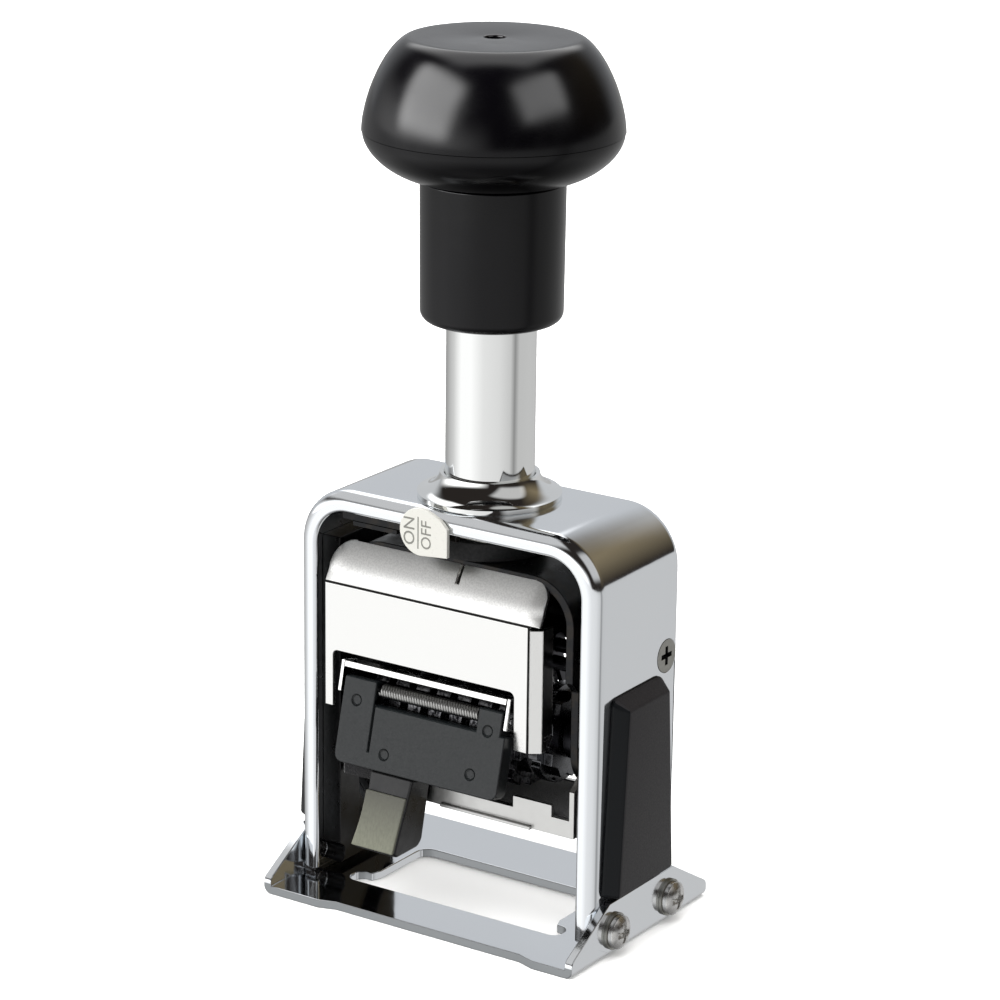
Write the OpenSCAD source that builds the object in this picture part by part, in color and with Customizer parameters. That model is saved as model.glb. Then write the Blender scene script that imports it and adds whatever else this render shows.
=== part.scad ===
// Hand numbering machine: a sprung plunger drives a carriage of type wheels down
// through a window in the base, while the ink pad swings clear behind them.
// Millimetres. Origin at the bottom centre of the base, front towards -Y, +Z up.

/* [Base] */
// Depth of the base plate, front to back
base_d = 43; // [40:0.5:48]
// Thickness of the base sheet
base_t = 1.5; // [1.2:0.1:2]
// Height of the side flanges
flange_h = 9.5; // [9:0.25:10]
// Height of a flange at its front and back ends
flange_end_h = 2.8; // [2.2:0.1:4]
// Depth of the full-height part of a flange
flange_top_d = 20; // [18:0.5:24]
// Width of the printing window's front slot
window_slot_w = 43.4; // [42:0.2:44]
// Width of the printing window behind the slot
window_w = 36.8; // [36.4:0.1:38]
// Depth of the printing window
window_d = 19; // [18:0.2:20]
// How far the middle of the front edge is set back
base_setback = 1; // [0.6:0.1:1.6]

/* [Frame] */
// Width of the frame across the legs
frame_w = 60; // [59.5:0.1:62]
// Depth of the frame, front to back
frame_d = 26.4; // [25.6:0.1:28]
// Height of the frame's top face above the table
frame_h = 72; // [71:0.25:74]
// Thickness of the frame sheet
frame_t = 1.5; // [1.2:0.1:1.6]
// Width of the turned-in lips
lip_w = 3.6; // [3.2:0.1:3.7]
// Outside radius of the top corners
frame_r = 10; // [8:0.5:11]
// Outside radius of the bend between the frame's side and its lips
edge_r = 2.4; // [1.8:0.1:2.6]
// Height above the table where the rear lips end
rear_lip_z = 26; // [20:0.5:34]

/* [Frame fittings] */
// Outside diameter of the guide bush's rim
bush_rim_d = 24.2; // [22:0.2:26]
// Height of the guide bush above the frame
bush_h = 4.2; // [3.4:0.1:5]
// Width across the flats of the bush nut
bush_nut_af = 19.6; // [19:0.1:20]
// Depth of a guide liner, front to back
liner_d = 16.4; // [16:0.1:18]
// Height of a side grip
grip_h = 34.6; // [30:0.2:36]
// Width of a side grip's flat face at its foot
grip_foot_w = 16.8; // [15:0.2:17.4]
// Width of a side grip's flat face at its top
grip_top_w = 12.6; // [11:0.2:14]
// Slope of a side grip's flanks, as the width of the bevel
grip_bevel = 1.5; // [0.6:0.1:1.8]
// How far a side grip stands out from the leg
grip_out = 2.8; // [2:0.1:3.6]
// Travel of the lock slide
lock_travel = 4; // [3.4:0.1:4.6]

/* [Handle] */
// Diameter of the knob
knob_d = 43; // [38:0.5:48]
// Height of the knob
knob_h = 23; // [20:0.5:27]
// Diameter of the knob's flat crown
crown_d = 29.8; // [26:0.2:32]
// Diameter of the sleeve under the knob
sleeve_d = 24; // [20:0.25:26]
// Length of the sleeve
sleeve_len = 23.8; // [20:0.1:25]
// Diameter of the plunger tube
tube_d = 15; // [14:0.1:15.4]
// Length of tube seen between the bush and the sleeve at rest
tube_show = 26; // [24:0.1:30]

/* [Carriage] */
// Width of the yoke across its cheeks
yoke_w = 46; // [45.8:0.05:46.2]
// Distance from the frame's top down to the yoke's top
yoke_drop = 8.7; // [8.4:0.1:9.2]
// Depth of the yoke, front to back
yoke_d = 18.8; // [18:0.1:19.2]
// Thickness of the yoke's walls
yoke_t = 1.5; // [1.4:0.05:1.55]
// Height of the wheel shaft above the table
shaft_z = 33.2; // [33:0.1:33.6]
// Diameter of the wheel shaft
shaft_d = 5; // [4:0.1:5.4]
// Distance from the yoke's top down to the cover's crease
crease_drop = 7.8; // [6.5:0.1:9]
// Thickness of the cover sheet
cover_t = 0.8; // [0.6:0.05:1]
// Outside radius of the cover's folded right edge
fold_r = 1.9; // [1.4:0.1:2.4]

/* [Number wheels] */
// Distance from one wheel to the next
wheel_pitch = 4.2; // [4:0.05:4.2]
// Radius over the corners of the type blocks
type_r = 10.4; // [10.2:0.05:10.5]
// Radius over the ratchet teeth
ratchet_r = 8; // [7.4:0.1:8.1]

/* [Ink pad] */
// Angle that the pad swings through, in degrees
pad_swing = 110; // [104:1:112]
// Reach of the pad tray in front of the shaft
tray_front = 10.5; // [10:0.1:10.8]
// Reach of the pad tray behind the shaft
tray_rear = 6; // [5.6:0.1:6.4]
// Distance of a follower pin from the shaft
follower_reach = 7; // [6.8:0.05:7.2]
// Diameter of a follower pin
follower_d = 2.4; // [2:0.1:2.6]

/* [Front guard] */
// Length of the guard below its hinge pin
guard_len = 13.4; // [12.6:0.1:13.8]
// Lean of the guard, in degrees
guard_lean = 14; // [13:0.5:16]
// Length of the foot lever below the guard
foot_len = 13.8; // [12.6:0.1:14]

/* [Hidden] */
$fn = 48;

// clearances
run_gap = 0.05;
slide_gap = 0.3;
side_gap = 0.4;
print_gap = 0.2;
through = 1;

// derived places
stroke = shaft_z - type_r - print_gap;
yoke_top = frame_h - yoke_drop;
crease_z = yoke_top - crease_drop;
leg_x = frame_w / 2 - frame_t;
lip_foot_z = 2.7;
window_y = -1.3;
window_slot_d = 4;
setback_left = 20;
setback_right = 23.5;
yoke_x = yoke_w / 2;
arm_t = 1;
arm_x = yoke_x + side_gap;
liner_x = arm_x + arm_t + side_gap;
liner_foot_z = 2.6;
liner_top_z = frame_h - frame_r;
groove_depth = 1.5;
spring_y = 6;
spring_r = 1.1;
spring_x = yoke_x + side_gap + spring_r;
spring_top_z = liner_top_z - 1.5;
spring_lug_z = spring_top_z - 11.1;
lug_r = 0.8;

screw_y = 8.65;
screw_z = 4.3;
screw_d = 3;
screw_head_d = 5.8;
screw_head_h = 1.9;
washer_t = 0.5;
liner_screw_y = 8.6;
liner_screw_z = liner_top_z - 14.7;
liner_wide_z = liner_screw_z - 5.3;
liner_back_y = frame_d / 2 - edge_r - 0.2;
liner_screw_head_d = 5.8;

grip_foot_z = 10;
grip_y = -0.8;
grip_pin_zs = [16, 38];
grip_pin_d = 3;

bush_shank_d = tube_d + 2.6;
bush_foot_z = frame_h - frame_t - 3.9;
bush_nut_h = 3.4;
tube_bore_d = tube_d - 3;
sleeve_foot_z = frame_h + bush_h + tube_show;
knob_foot_z = sleeve_foot_z + sleeve_len;
knob_top_z = knob_foot_z + knob_h;
tube_top_z = knob_foot_z + 3;
stub_d = 10;
yoke_nut_h = 4;
recess_d = 3.4;
recess_h = 3;
handle_screw_d = 2.4;
stop_d = 20;

leg_half = 7.5;
leg_wide_z = yoke_top - 17.3;
cover_y = -frame_d / 2 + 0.6;
cover_foot_z = shaft_z + 0.2;
cover_left_x = -24.8;
cover_right_x = 18.4;
cover_top_z = yoke_top - 0.6;
cover_left_r = 4.6;
cover_right_r = 3;
cover_window_left_x = -23.2;
cover_window_right_x = 13.6;
cover_window_top_z = shaft_z + 10.3;
cover_slit_x = 0.9;

wheel_count = 7;
bank_x = -17.9;
ring_w = 2.8;
wheel_gap = 0.15;
ratchet_w = wheel_pitch - ring_w - wheel_gap;
block_w = 3.4;
digits = 10;
bracket_left_x = -21.3;
bracket_right_x = 12.3;
bracket_t = 0.7;
detent_y = -4.5;
detent_z = shaft_z + 14;
rocker_y = 4.4;
rocker_z = shaft_z + 13.4;
finger_gap = 0.35;
rod_d = 2.4;
dial_x = 13.8;
dial_t = 1.8;
dial_r = 8.6;
dial_ratchet_r = 7.5;

pad_gap = 0.3;
pad_top = type_r + pad_gap;
tray_t = 0.8;
tray_floor = 13.8;
pad_t = tray_floor - tray_t - pad_top;
tray_notch_x = -14;
tray_notch_d = 2.6;
follower_start = -145;
pin_y = -12.2;
pin_z = 38.2;
pin_d = 1.1;
guard_left_x = -19.9;
guard_right_x = 12.1;
guard_wide_x = 13.1;
guard_front = 1.6;
guard_back = 1.4;
ear_left_w = 6.5;
ear_right_w = 4.7;
recess_z = 2.6;

lock_front_y = -frame_d / 2 - 0.1;
lock_t = 0.8;
lock_bar_z = frame_h - 5.2;
lock_bar_h = 1.3;
lock_bar_d = 1.2;
lock_bar_y = -frame_d / 2 + frame_t + 0.2;
lock_guide_x = -19.8;
lock_guide_w = 9;
lock_left_x = lock_guide_x + 1.8 - lock_travel;

// ---------- helpers ----------

// A profile drawn as (y, z) becomes a slab from x0 to x0 + length.
module along_x(x0, length)
    translate([x0, 0, 0]) rotate([90, 0, 90]) linear_extrude(length) children();

// A profile drawn as (x, z) becomes a slab from y0 to y0 + length.
module along_y(y0, length)
    translate([0, y0 + length, 0]) rotate([90, 0, 0]) linear_extrude(length) children();

// A cylinder along X from x0.
module x_rod(x0, length, d, y, z)
    translate([x0, y, z]) rotate([0, 90, 0]) cylinder(h = length, d = d);

// The same children on both sides of the machine.
module both_sides() {
    children();
    mirror([1, 0, 0]) children();
}

// A quarter disc that rounds an outside corner.
module quarter(r)
    intersection() {
        circle(r);
        square(r);
    }

// A rectangle centred on the origin with rounded corners.
module round_rect(w, d, r) {
    square([w - 2 * r, d], center = true);
    square([w, d - 2 * r], center = true);
    for (sx = [-1, 1], sy = [-1, 1])
        translate([sx * (w / 2 - r), sy * (d / 2 - r)]) circle(r);
}

// An arch outline: flat feet at foot_z, top corners of radius r.
module arch(w, top_z, r, foot_z) {
    translate([-w / 2, foot_z]) square([w, top_z - r - foot_z]);
    translate([-w / 2 + r, foot_z]) square([w - 2 * r, top_z - foot_z]);
    for (s = [-1, 1])
        translate([s * (w / 2 - r), top_z - r]) circle(r);
}

// A row of touching wire rings along +Z, as a close-wound spring lies.
module spring_body(length, mean_r, wire_r, turns) {
    pitch = (length - 2 * wire_r) / (turns - 1);
    rotate_extrude()
        for (i = [0:turns - 1])
            translate([mean_r, wire_r + i * pitch]) circle(wire_r, $fn = 8);
}

// The cross slot of a screw head, cut down from z = 0.
module cross_slot(span, depth)
    for (turn = [0, 90])
        rotate(turn)
            translate([-span / 2, -span / 8, -depth]) cube([span, span / 4, depth + through]);

// A pan-head screw standing on z = 0 with its shank below.
module pan_screw(head_d, head_h, shank_d, shank_len) {
    dome_r = head_d * 0.8;
    difference() {
        intersection() {
            cylinder(h = head_h, d = head_d);
            translate([0, 0, head_h - dome_r]) sphere(dome_r);
        }
        translate([0, 0, head_h]) cross_slot(head_d * 0.6, head_h * 0.55);
    }
    translate([0, 0, -shank_len]) cylinder(h = shank_len, d = shank_d);
}

// Places on the guard: origin on its hinge pin, -Z down the plate, -Y to its face.
module guard_place()
    translate([0, pin_y, pin_z]) rotate([-guard_lean, 0, 0]) children();

// ---------- frame ----------

// Section of the channel, with x as the radius of the corner bend.
module channel_section()
    for (s = [-1, 1])
        scale([1, s]) {
            translate([frame_r - frame_t, 0]) square([frame_t, frame_d / 2 - edge_r]);
            translate([frame_r - lip_w + frame_t / 2, frame_d / 2 - frame_t])
                square([lip_w - edge_r - frame_t / 2, frame_t]);
            translate([frame_r - lip_w + frame_t / 2, frame_d / 2 - frame_t / 2]) circle(frame_t / 2);
            translate([frame_r - edge_r, frame_d / 2 - edge_r])
                difference() {
                    quarter(edge_r);
                    circle(edge_r - frame_t);
                }
        }

module outer_frame() color("#c9ccd0")
    difference() {
        union() {
            both_sides() {
                translate([frame_w / 2 - frame_r, 0, base_t])
                    linear_extrude(frame_h - frame_r - base_t) channel_section();
                translate([frame_w / 2 - frame_r, 0, frame_h - frame_r])
                    rotate([90, 0, 0]) rotate_extrude(angle = 90) channel_section();
            }
            translate([-frame_w / 2 + frame_r, 0, frame_h - frame_r])
                rotate([180, -90, 0]) linear_extrude(frame_w - 2 * frame_r) channel_section();
        }
        translate([0, 0, bush_foot_z]) cylinder(h = frame_h, d = bush_shank_d + 2 * run_gap);
        both_sides() {
            for (s = [-1, 1])
                x_rod(leg_x - through, 2 * frame_t + through, screw_d + 2 * run_gap, s * screw_y, screw_z);
            for (z = grip_pin_zs)
                x_rod(leg_x - through, 2 * frame_t + through, grip_pin_d + 2 * run_gap, grip_y, z);
            translate([frame_w / 2 + 0.01, liner_screw_y, liner_screw_z]) rotate([0, -90, 0])
                liner_screw_head(run_gap);
        }
        translate([-frame_w, -frame_d, 0])
            cube([2 * frame_w, frame_d / 2 + frame_t, lip_foot_z]);
        translate([-frame_w, frame_d / 2 - frame_t, 0])
            cube([2 * frame_w, frame_d, rear_lip_z]);
    }

// The printing window: a wide slot in front and a narrower opening behind it.
module window_outline() {
    front_y = window_y - window_d / 2;
    translate([0, window_y]) round_rect(window_w, window_d, 2.5);
    translate([0, front_y + window_slot_d / 2])
        round_rect(window_slot_w, window_slot_d, window_slot_d / 2 - 0.2);
    polygon([[-window_slot_w / 2 + 1.8, front_y + 2], [window_slot_w / 2 - 1.8, front_y + 2],
             [window_w / 2, front_y + window_slot_d + 1.8], [-window_w / 2, front_y + window_slot_d + 1.8]]);
}

// Side view of the base as (y, z): low ends with rounded corners, full height in the middle.
module flange_profile() {
    corner_r = 1.5;
    slope = atan2(flange_h - flange_end_h, (base_d - flange_top_d) / 2);
    reach = corner_r * tan((90 - slope) / 2);
    for (s = [-1, 1])
        scale([s, 1]) {
            polygon([[0, 0], [base_d / 2, 0], [base_d / 2, flange_end_h - reach],
                     [base_d / 2 - reach * cos(slope), flange_end_h + reach * sin(slope)],
                     [flange_top_d / 2, flange_h], [0, flange_h]]);
            translate([base_d / 2 - corner_r, flange_end_h - reach]) circle(corner_r);
        }
}

module base_plate() color("#d4d6d9")
    difference() {
        intersection() {
            along_y(-base_d / 2, base_d) {
                translate([-frame_w / 2, 0]) square([frame_w, base_t]);
                for (s = [-1, 1])
                    scale([s, 1]) {
                        translate([frame_w / 2, base_t]) square([base_t, flange_h]);
                        translate([frame_w / 2, base_t]) scale([1, -1]) quarter(base_t);
                    }
            }
            along_x(-frame_w, 2 * frame_w) flange_profile();
        }
        translate([0, -base_d / 2, -through]) linear_extrude(base_t + 2 * through)
            polygon([[-setback_left, -through], [-setback_left, 0], [-setback_left + 3, base_setback],
                     [setback_right - 3, base_setback], [setback_right, 0], [setback_right, -through]]);
        translate([0, 0, -through]) linear_extrude(base_t + 2 * through) window_outline();
        both_sides()
            for (s = [-1, 1])
                x_rod(frame_w / 2 - through, 2 * frame_t + through, screw_d + 2 * run_gap,
                      s * screw_y, screw_z);
    }

module base_screws() color("#b9b6a8")
    both_sides()
        for (s = [-1, 1])
            translate([frame_w / 2 + base_t + washer_t, s * screw_y, screw_z]) rotate([0, 90, 0])
                pan_screw(screw_head_d, screw_head_h, screw_d, base_t + frame_t + washer_t);

module base_washers() color("#9c9a90")
    both_sides()
        for (s = [-1, 1])
            difference() {
                x_rod(frame_w / 2 + base_t, washer_t, screw_head_d + 0.6, s * screw_y, screw_z);
                x_rod(frame_w / 2, 2 * frame_t, screw_d + 2 * run_gap, s * screw_y, screw_z);
            }

module side_grip() {
    root_r = 1.6;
    top_r = 0.8;
    hull()
        for (s = [-1, 1]) {
            for (end = [[grip_foot_z + root_r, grip_foot_w], [grip_foot_z + grip_h - root_r, grip_top_w]])
                translate([frame_w / 2, grip_y + s * (end[1] / 2 + grip_bevel - root_r), end[0]])
                    rotate([0, 90, 0]) cylinder(h = 0.4, r = root_r, $fn = 32);
            for (end = [[grip_foot_z + top_r + 0.2, grip_foot_w],
                        [grip_foot_z + grip_h - grip_bevel - top_r, grip_top_w]])
                translate([frame_w / 2 + grip_out - top_r, grip_y + s * (end[1] / 2 + 0.3 - top_r), end[0]])
                    sphere(top_r, $fn = 24);
        }
    for (z = grip_pin_zs)
        x_rod(leg_x, frame_t + grip_out / 2, grip_pin_d, grip_y, z);
}

module side_grip_right() color("#2b2b2e") side_grip();
module side_grip_left() color("#2b2b2e") mirror([1, 0, 0]) side_grip();

// ---------- guide liners ----------

// Where the follower pin stands when the carriage is s down, as (y, z).
function follower_angle(s) = follower_start + pad_swing * s / stroke;
function follower_at(s) = [follower_reach * cos(follower_angle(s)),
                           shaft_z - s + follower_reach * sin(follower_angle(s))];
// Unit vector square to the follower's path.
function path_normal(s) =
    let (step = 0.01, d = follower_at(s + step) - follower_at(s - step)) [-d[1], d[0]] / norm(d);

module cam_groove_outline() {
    half = follower_d / 2 + slide_gap / 2;
    steps = 28;
    stations = [for (i = [0:steps]) stroke * i / steps];
    polygon(concat([for (s = stations) follower_at(s) + half * path_normal(s)],
                   [for (i = [steps:-1:0]) follower_at(stations[i]) - half * path_normal(stations[i])]));
    for (s = [0, stroke])
        translate(follower_at(s)) circle(half);
}

// A vertical slot from z0 to z1 with round ends, drawn as (y, z).
module upright_slot(y, z0, z1, r) {
    translate([y - r, z0]) square([2 * r, z1 - z0]);
    for (z = [z0, z1])
        translate([y, z]) circle(r);
}

module guide_liner() {
    post_z = spring_top_z + 0.75;
    difference() {
        along_x(liner_x, leg_x - liner_x)
            polygon([[-liner_d / 2, liner_foot_z], [liner_d / 2, liner_foot_z],
                     [liner_d / 2, liner_wide_z - 3], [liner_back_y, liner_wide_z],
                     [liner_back_y, liner_screw_z + 6], [liner_d / 2, liner_screw_z + 9],
                     [liner_d / 2, liner_top_z], [-liner_d / 2, liner_top_z]]);
        along_x(liner_x - through, groove_depth + through)
            upright_slot(0, shaft_z - stroke - slide_gap, shaft_z + slide_gap, shaft_d / 2 + slide_gap / 3);
        along_x(liner_x - through, leg_x) cam_groove_outline();
        along_x(liner_x - through, spring_x + spring_r + slide_gap - liner_x + through)
            upright_slot(spring_y, spring_lug_z - stroke - slide_gap, liner_top_z,
                         spring_r + slide_gap);
        x_rod(liner_x, leg_x, 2, liner_screw_y, liner_screw_z);
        for (s = [-1, 1])
            x_rod(liner_x - through, leg_x, screw_d + 2 * slide_gap, s * screw_y, screw_z);
    }
    x_rod(yoke_x + side_gap + 0.2, spring_x + spring_r + 2 * slide_gap - arm_x, 1.2, spring_y, post_z);
}

module guide_liner_right() color("#1b1b1d") guide_liner();
module guide_liner_left() color("#1b1b1d") mirror([1, 0, 0]) guide_liner();

// A countersunk head, flat face at z = 0 and narrowing along +Z.
module liner_screw_head(gap)
    cylinder(h = frame_t + 0.4, d1 = liner_screw_head_d + 2 * gap, d2 = 2 + 2 * gap);

module liner_screws() color("#c2c3c4")
    both_sides()
        translate([frame_w / 2, liner_screw_y, liner_screw_z]) rotate([0, -90, 0])
            difference() {
                union() {
                    intersection() {
                        liner_screw_head(0);
                        cylinder(h = frame_t, d = 10);
                    }
                    cylinder(h = frame_t + 1, d = 1.9);
                }
                mirror([0, 0, 1]) cross_slot(3.2, 0.9);
            }

// ---------- bush, nut and lock ----------

module guide_bush() color("#e4e4e2")
    difference() {
        union() {
            translate([0, 0, bush_foot_z]) cylinder(h = frame_h - bush_foot_z, d = bush_shank_d);
            translate([0, 0, frame_h])
                rotate_extrude()
                    difference() {
                        square([bush_rim_d / 2, bush_h]);
                        translate([bush_rim_d / 2 + 0.3, bush_h + 0.8]) circle(bush_h - 0.1);
                    }
        }
        translate([0, 0, bush_foot_z - through])
            cylinder(h = frame_h, d = tube_d + 2 * run_gap);
    }

module bush_nut() color("#8f8f8c")
    translate([0, 0, frame_h - frame_t - bush_nut_h])
        difference() {
            cylinder(h = bush_nut_h, d = bush_nut_af / cos(30), $fn = 6);
            translate([0, 0, -through])
                cylinder(h = bush_nut_h + 2 * through, d = bush_shank_d + 2 * run_gap);
        }

// Hooked bracket welded under the frame's top, carrying the lock's bar.
module lock_guide() color("#a7a8a8") {
    top_z = frame_h - frame_t;
    wall_y = lock_bar_y + lock_bar_d + 0.1;
    along_x(lock_guide_x, lock_guide_w)
        polygon([[wall_y, top_z], [-6.6, top_z], [-6.6, top_z - 0.8], [wall_y + 0.8, top_z - 0.8],
                 [wall_y + 0.8, lock_bar_z - 0.85], [lock_bar_y, lock_bar_z - 0.85],
                 [lock_bar_y, lock_bar_z - 0.05], [wall_y, lock_bar_z - 0.05]]);
}

// The off-white tab in front of the lip, its stem under the lip, and its bar.
module lock_tab() color("#dcd9cc") {
    tab_right_x = 1.1;
    tab_z = frame_h - 3.7;
    along_y(lock_front_y - lock_t, lock_t) {
        translate([-4.3, tab_z]) circle(4.1);
        polygon([[-4.3, tab_z - 4.1], [tab_right_x, tab_z - 3.6], [tab_right_x, tab_z + 1.3],
                 [-0.3, tab_z + 2.7], [-2.2, tab_z + 3.6], [-4.3, tab_z + 4.1]]);
    }
    translate([-5, lock_front_y - lock_t / 2, lock_bar_z])
        cube([4, lock_bar_y + lock_bar_d - lock_front_y + lock_t / 2, lock_bar_h]);
    translate([lock_left_x, lock_bar_y, lock_bar_z])
        cube([tab_right_x - lock_left_x, lock_bar_d, lock_bar_h]);
}

// ---------- handle ----------

// Knob outline: flat crown, full shoulder, widest a third of the way up, rounded underside.
module knob_outline() {
    crown_r = crown_d / 2;
    belly_z = knob_h * 0.34;
    throat_r = sleeve_d / 2 + 0.1;
    side_r = knob_d / 2;
    steps = 12;
    polygon(concat(
        [[0, 0], [throat_r, 0]],
        [for (i = [1:steps]) let (a = 90 * i / steps)
            [throat_r + (side_r - throat_r) * pow(sin(a), 1.1), belly_z * (1 - pow(cos(a), 1.1))]],
        [for (i = [1:steps]) let (a = 90 * i / steps)
            [crown_r + (side_r - crown_r) * pow(cos(a), 1.4),
             belly_z + (knob_h - belly_z) * pow(sin(a), 1.4)]],
        [[0, knob_h]]));
}

module handle_knob() color("#161617")
    difference() {
        translate([0, 0, knob_foot_z]) rotate_extrude() knob_outline();
        translate([0, 0, knob_foot_z - through])
            cylinder(h = tube_top_z - knob_foot_z + through, d = tube_d + 2 * run_gap);
        cylinder(h = 2 * knob_top_z, d = recess_d);
    }

module handle_screw() color("#6f6f70")
    translate([0, 0, knob_top_z - recess_h])
        pan_screw(recess_d - 0.2, 1.5, handle_screw_d, knob_top_z - recess_h - tube_top_z + 8);

module handle_sleeve() color("#19191a")
    difference() {
        lip_r = 1.8;
        translate([0, 0, sleeve_foot_z])
            rotate_extrude() {
                translate([0, lip_r]) square([sleeve_d / 2, sleeve_len - lip_r]);
                square([sleeve_d / 2 - lip_r, sleeve_len]);
                translate([sleeve_d / 2 - lip_r, lip_r]) circle(lip_r);
            }
        translate([0, 0, sleeve_foot_z - through])
            cylinder(h = sleeve_len + 2 * through, d = tube_d + 2 * run_gap);
    }

module plunger_tube() color("#dfe1e3")
    difference() {
        union() {
            translate([0, 0, yoke_top]) cylinder(h = tube_top_z - yoke_top, d = tube_d);
            translate([0, 0, yoke_top - yoke_t - yoke_nut_h - 0.5])
                cylinder(h = yoke_t + yoke_nut_h + 1, d = stub_d);
        }
        translate([0, 0, yoke_top + 2]) cylinder(h = tube_top_z - yoke_top - 12, d = tube_bore_d);
        translate([0, 0, tube_top_z - 8 - run_gap]) cylinder(h = 10, d = handle_screw_d + 2 * run_gap);
    }

module yoke_nut() color("#8f8f8c")
    translate([0, 0, yoke_top - yoke_t - yoke_nut_h])
        difference() {
            cylinder(h = yoke_nut_h, d = 14 / cos(30), $fn = 6);
            translate([0, 0, -through])
                cylinder(h = yoke_nut_h + 2 * through, d = stub_d + 2 * run_gap);
        }

// Rubber ring on the yoke that meets the bush nut when the plunger comes up.
module rubber_stop() color("#1c1c1e")
    translate([0, 0, yoke_top])
        difference() {
            cylinder(h = frame_h - frame_t - bush_nut_h - yoke_top - 0.5, d = stop_d);
            translate([0, 0, -through]) cylinder(h = yoke_drop, d = tube_d + 2 * run_gap);
        }

// ---------- carriage ----------

module carriage_yoke() color("#202124") {
    difference() {
        union() {
            intersection() {
                along_y(-yoke_d / 2, yoke_d)
                    difference() {
                        arch(yoke_w, yoke_top, 8, shaft_z - leg_half);
                        arch(yoke_w - 2 * yoke_t, yoke_top - yoke_t, 8 - yoke_t, shaft_z - leg_half - through);
                    }
                along_x(-yoke_w, 2 * yoke_w) {
                    polygon([[-leg_half, shaft_z], [leg_half, shaft_z], [leg_half, leg_wide_z - 2],
                             [yoke_d / 2, leg_wide_z], [yoke_d / 2, yoke_top], [-yoke_d / 2, yoke_top],
                             [-yoke_d / 2, leg_wide_z], [-leg_half, leg_wide_z - 2]]);
                    translate([0, shaft_z]) circle(leg_half);
                }
            }
            along_y(yoke_d / 2 - 1.2, 1.2)
                intersection() {
                    arch(yoke_w - yoke_t, yoke_top - yoke_t / 2, 8 - yoke_t, leg_wide_z + 0.5);
                    translate([-yoke_w, leg_wide_z + 0.5]) square([2 * yoke_w, yoke_top]);
                }
        }
        translate([0, 0, yoke_top - 2 * yoke_t]) cylinder(h = 3 * yoke_t, d = stub_d + 2 * run_gap);
        x_rod(-yoke_w, 2 * yoke_w, shaft_d + 2 * run_gap, 0, shaft_z);
        x_rod(-yoke_w, 2 * yoke_w, rod_d + 2 * run_gap, detent_y, detent_z);
        x_rod(-yoke_w, 2 * yoke_w, rod_d + 2 * run_gap, rocker_y, rocker_z);
    }
    both_sides()
        x_rod(yoke_x - yoke_t / 2, spring_x + spring_r - yoke_x + yoke_t / 2, 2 * lug_r, spring_y, spring_lug_z);
}

// Outline of the cover's face and head, with the head's round top corners.
module cover_outline() {
    bend_x = cover_right_x - fold_r;
    polygon([[cover_left_x, cover_foot_z], [bend_x, cover_foot_z], [bend_x, crease_z],
             [cover_right_x, crease_z], [cover_right_x, cover_top_z - cover_right_r],
             [cover_right_x - cover_right_r, cover_top_z], [cover_left_x + cover_left_r, cover_top_z],
             [cover_left_x, cover_top_z - cover_left_r]]);
    translate([cover_right_x - cover_right_r, cover_top_z - cover_right_r]) circle(cover_right_r);
    translate([cover_left_x + cover_left_r, cover_top_z - cover_left_r]) circle(cover_left_r);
}

// Front cover: a face with a window, a bevelled head and two folded sides.
module front_cover() color("#dcdddf") {
    back = cover_y + cover_t;
    lean = [-yoke_d / 2 - cover_y, cover_top_z - crease_z];
    inner_crease_z = crease_z - cover_t * tan(atan2(lean[0], lean[1]) / 2);
    inner_top_z = inner_crease_z + (-yoke_d / 2 - back) * lean[1] / lean[0];
    slit_w = 0.7;
    left_wall_h = crease_z - leg_wide_z - 1.5;
    notch_z = cover_foot_z + 2;
    difference() {
        intersection() {
            along_x(-frame_w / 2, frame_w)
                polygon([[cover_y, cover_foot_z], [cover_y, crease_z], [-yoke_d / 2, cover_top_z],
                         [-yoke_d / 2, inner_top_z], [back, inner_crease_z], [back, cover_foot_z]]);
            along_y(-frame_d, frame_d) cover_outline();
        }
        along_y(-frame_d, frame_d) {
            translate([cover_window_left_x, cover_foot_z - through])
                square([cover_window_right_x - cover_window_left_x,
                        cover_window_top_z - 1 - cover_foot_z + through]);
            translate([cover_window_left_x + 1, cover_foot_z])
                square([cover_window_right_x - cover_window_left_x - 2,
                        cover_window_top_z - cover_foot_z]);
            for (x = [cover_window_left_x + 1, cover_window_right_x - 1])
                translate([x, cover_window_top_z - 1]) circle(1);
        }
        translate([cover_slit_x, -frame_d, cover_top_z - 3]) cube([slit_w, frame_d, 6]);
    }
    right_fold(notch_z + 0.6, crease_z - 0.6, 2.5);
    right_fold(notch_z - 0.4, notch_z + 1, 0.1);
    right_fold(cover_foot_z, notch_z, 0.8);
    translate([cover_left_x, back - 0.1, leg_wide_z + 0.5])
        cube([cover_t, -yoke_d / 2 + 0.5 - back + 0.1, left_wall_h]);
    translate([cover_left_x, -yoke_d / 2 - 0.3, leg_wide_z + 0.5])
        cube([-yoke_x - cover_left_x, cover_t, left_wall_h]);
}

// A stretch of the cover's right side: the round fold and a wall behind it of the given reach.
module right_fold(z0, z1, reach)
    translate([cover_right_x - fold_r, cover_y + fold_r, z0])
        linear_extrude(z1 - z0) {
            scale([1, -1])
                difference() {
                    quarter(fold_r);
                    circle(fold_r - cover_t);
                }
            translate([fold_r - cover_t, 0]) square([cover_t, reach]);
        }

module return_springs() color("#5b5b5d")
    both_sides()
        translate([spring_x, spring_y, spring_lug_z + lug_r + 0.05])
            spring_body(spring_top_z - spring_lug_z - lug_r - 0.05, spring_r - 0.25, 0.25, 22);

module wheel_shaft() color("#b4b6b8")
    x_rod(-liner_x - groove_depth + 0.2, 2 * (liner_x + groove_depth - 0.2), shaft_d, 0, shaft_z);

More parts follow.
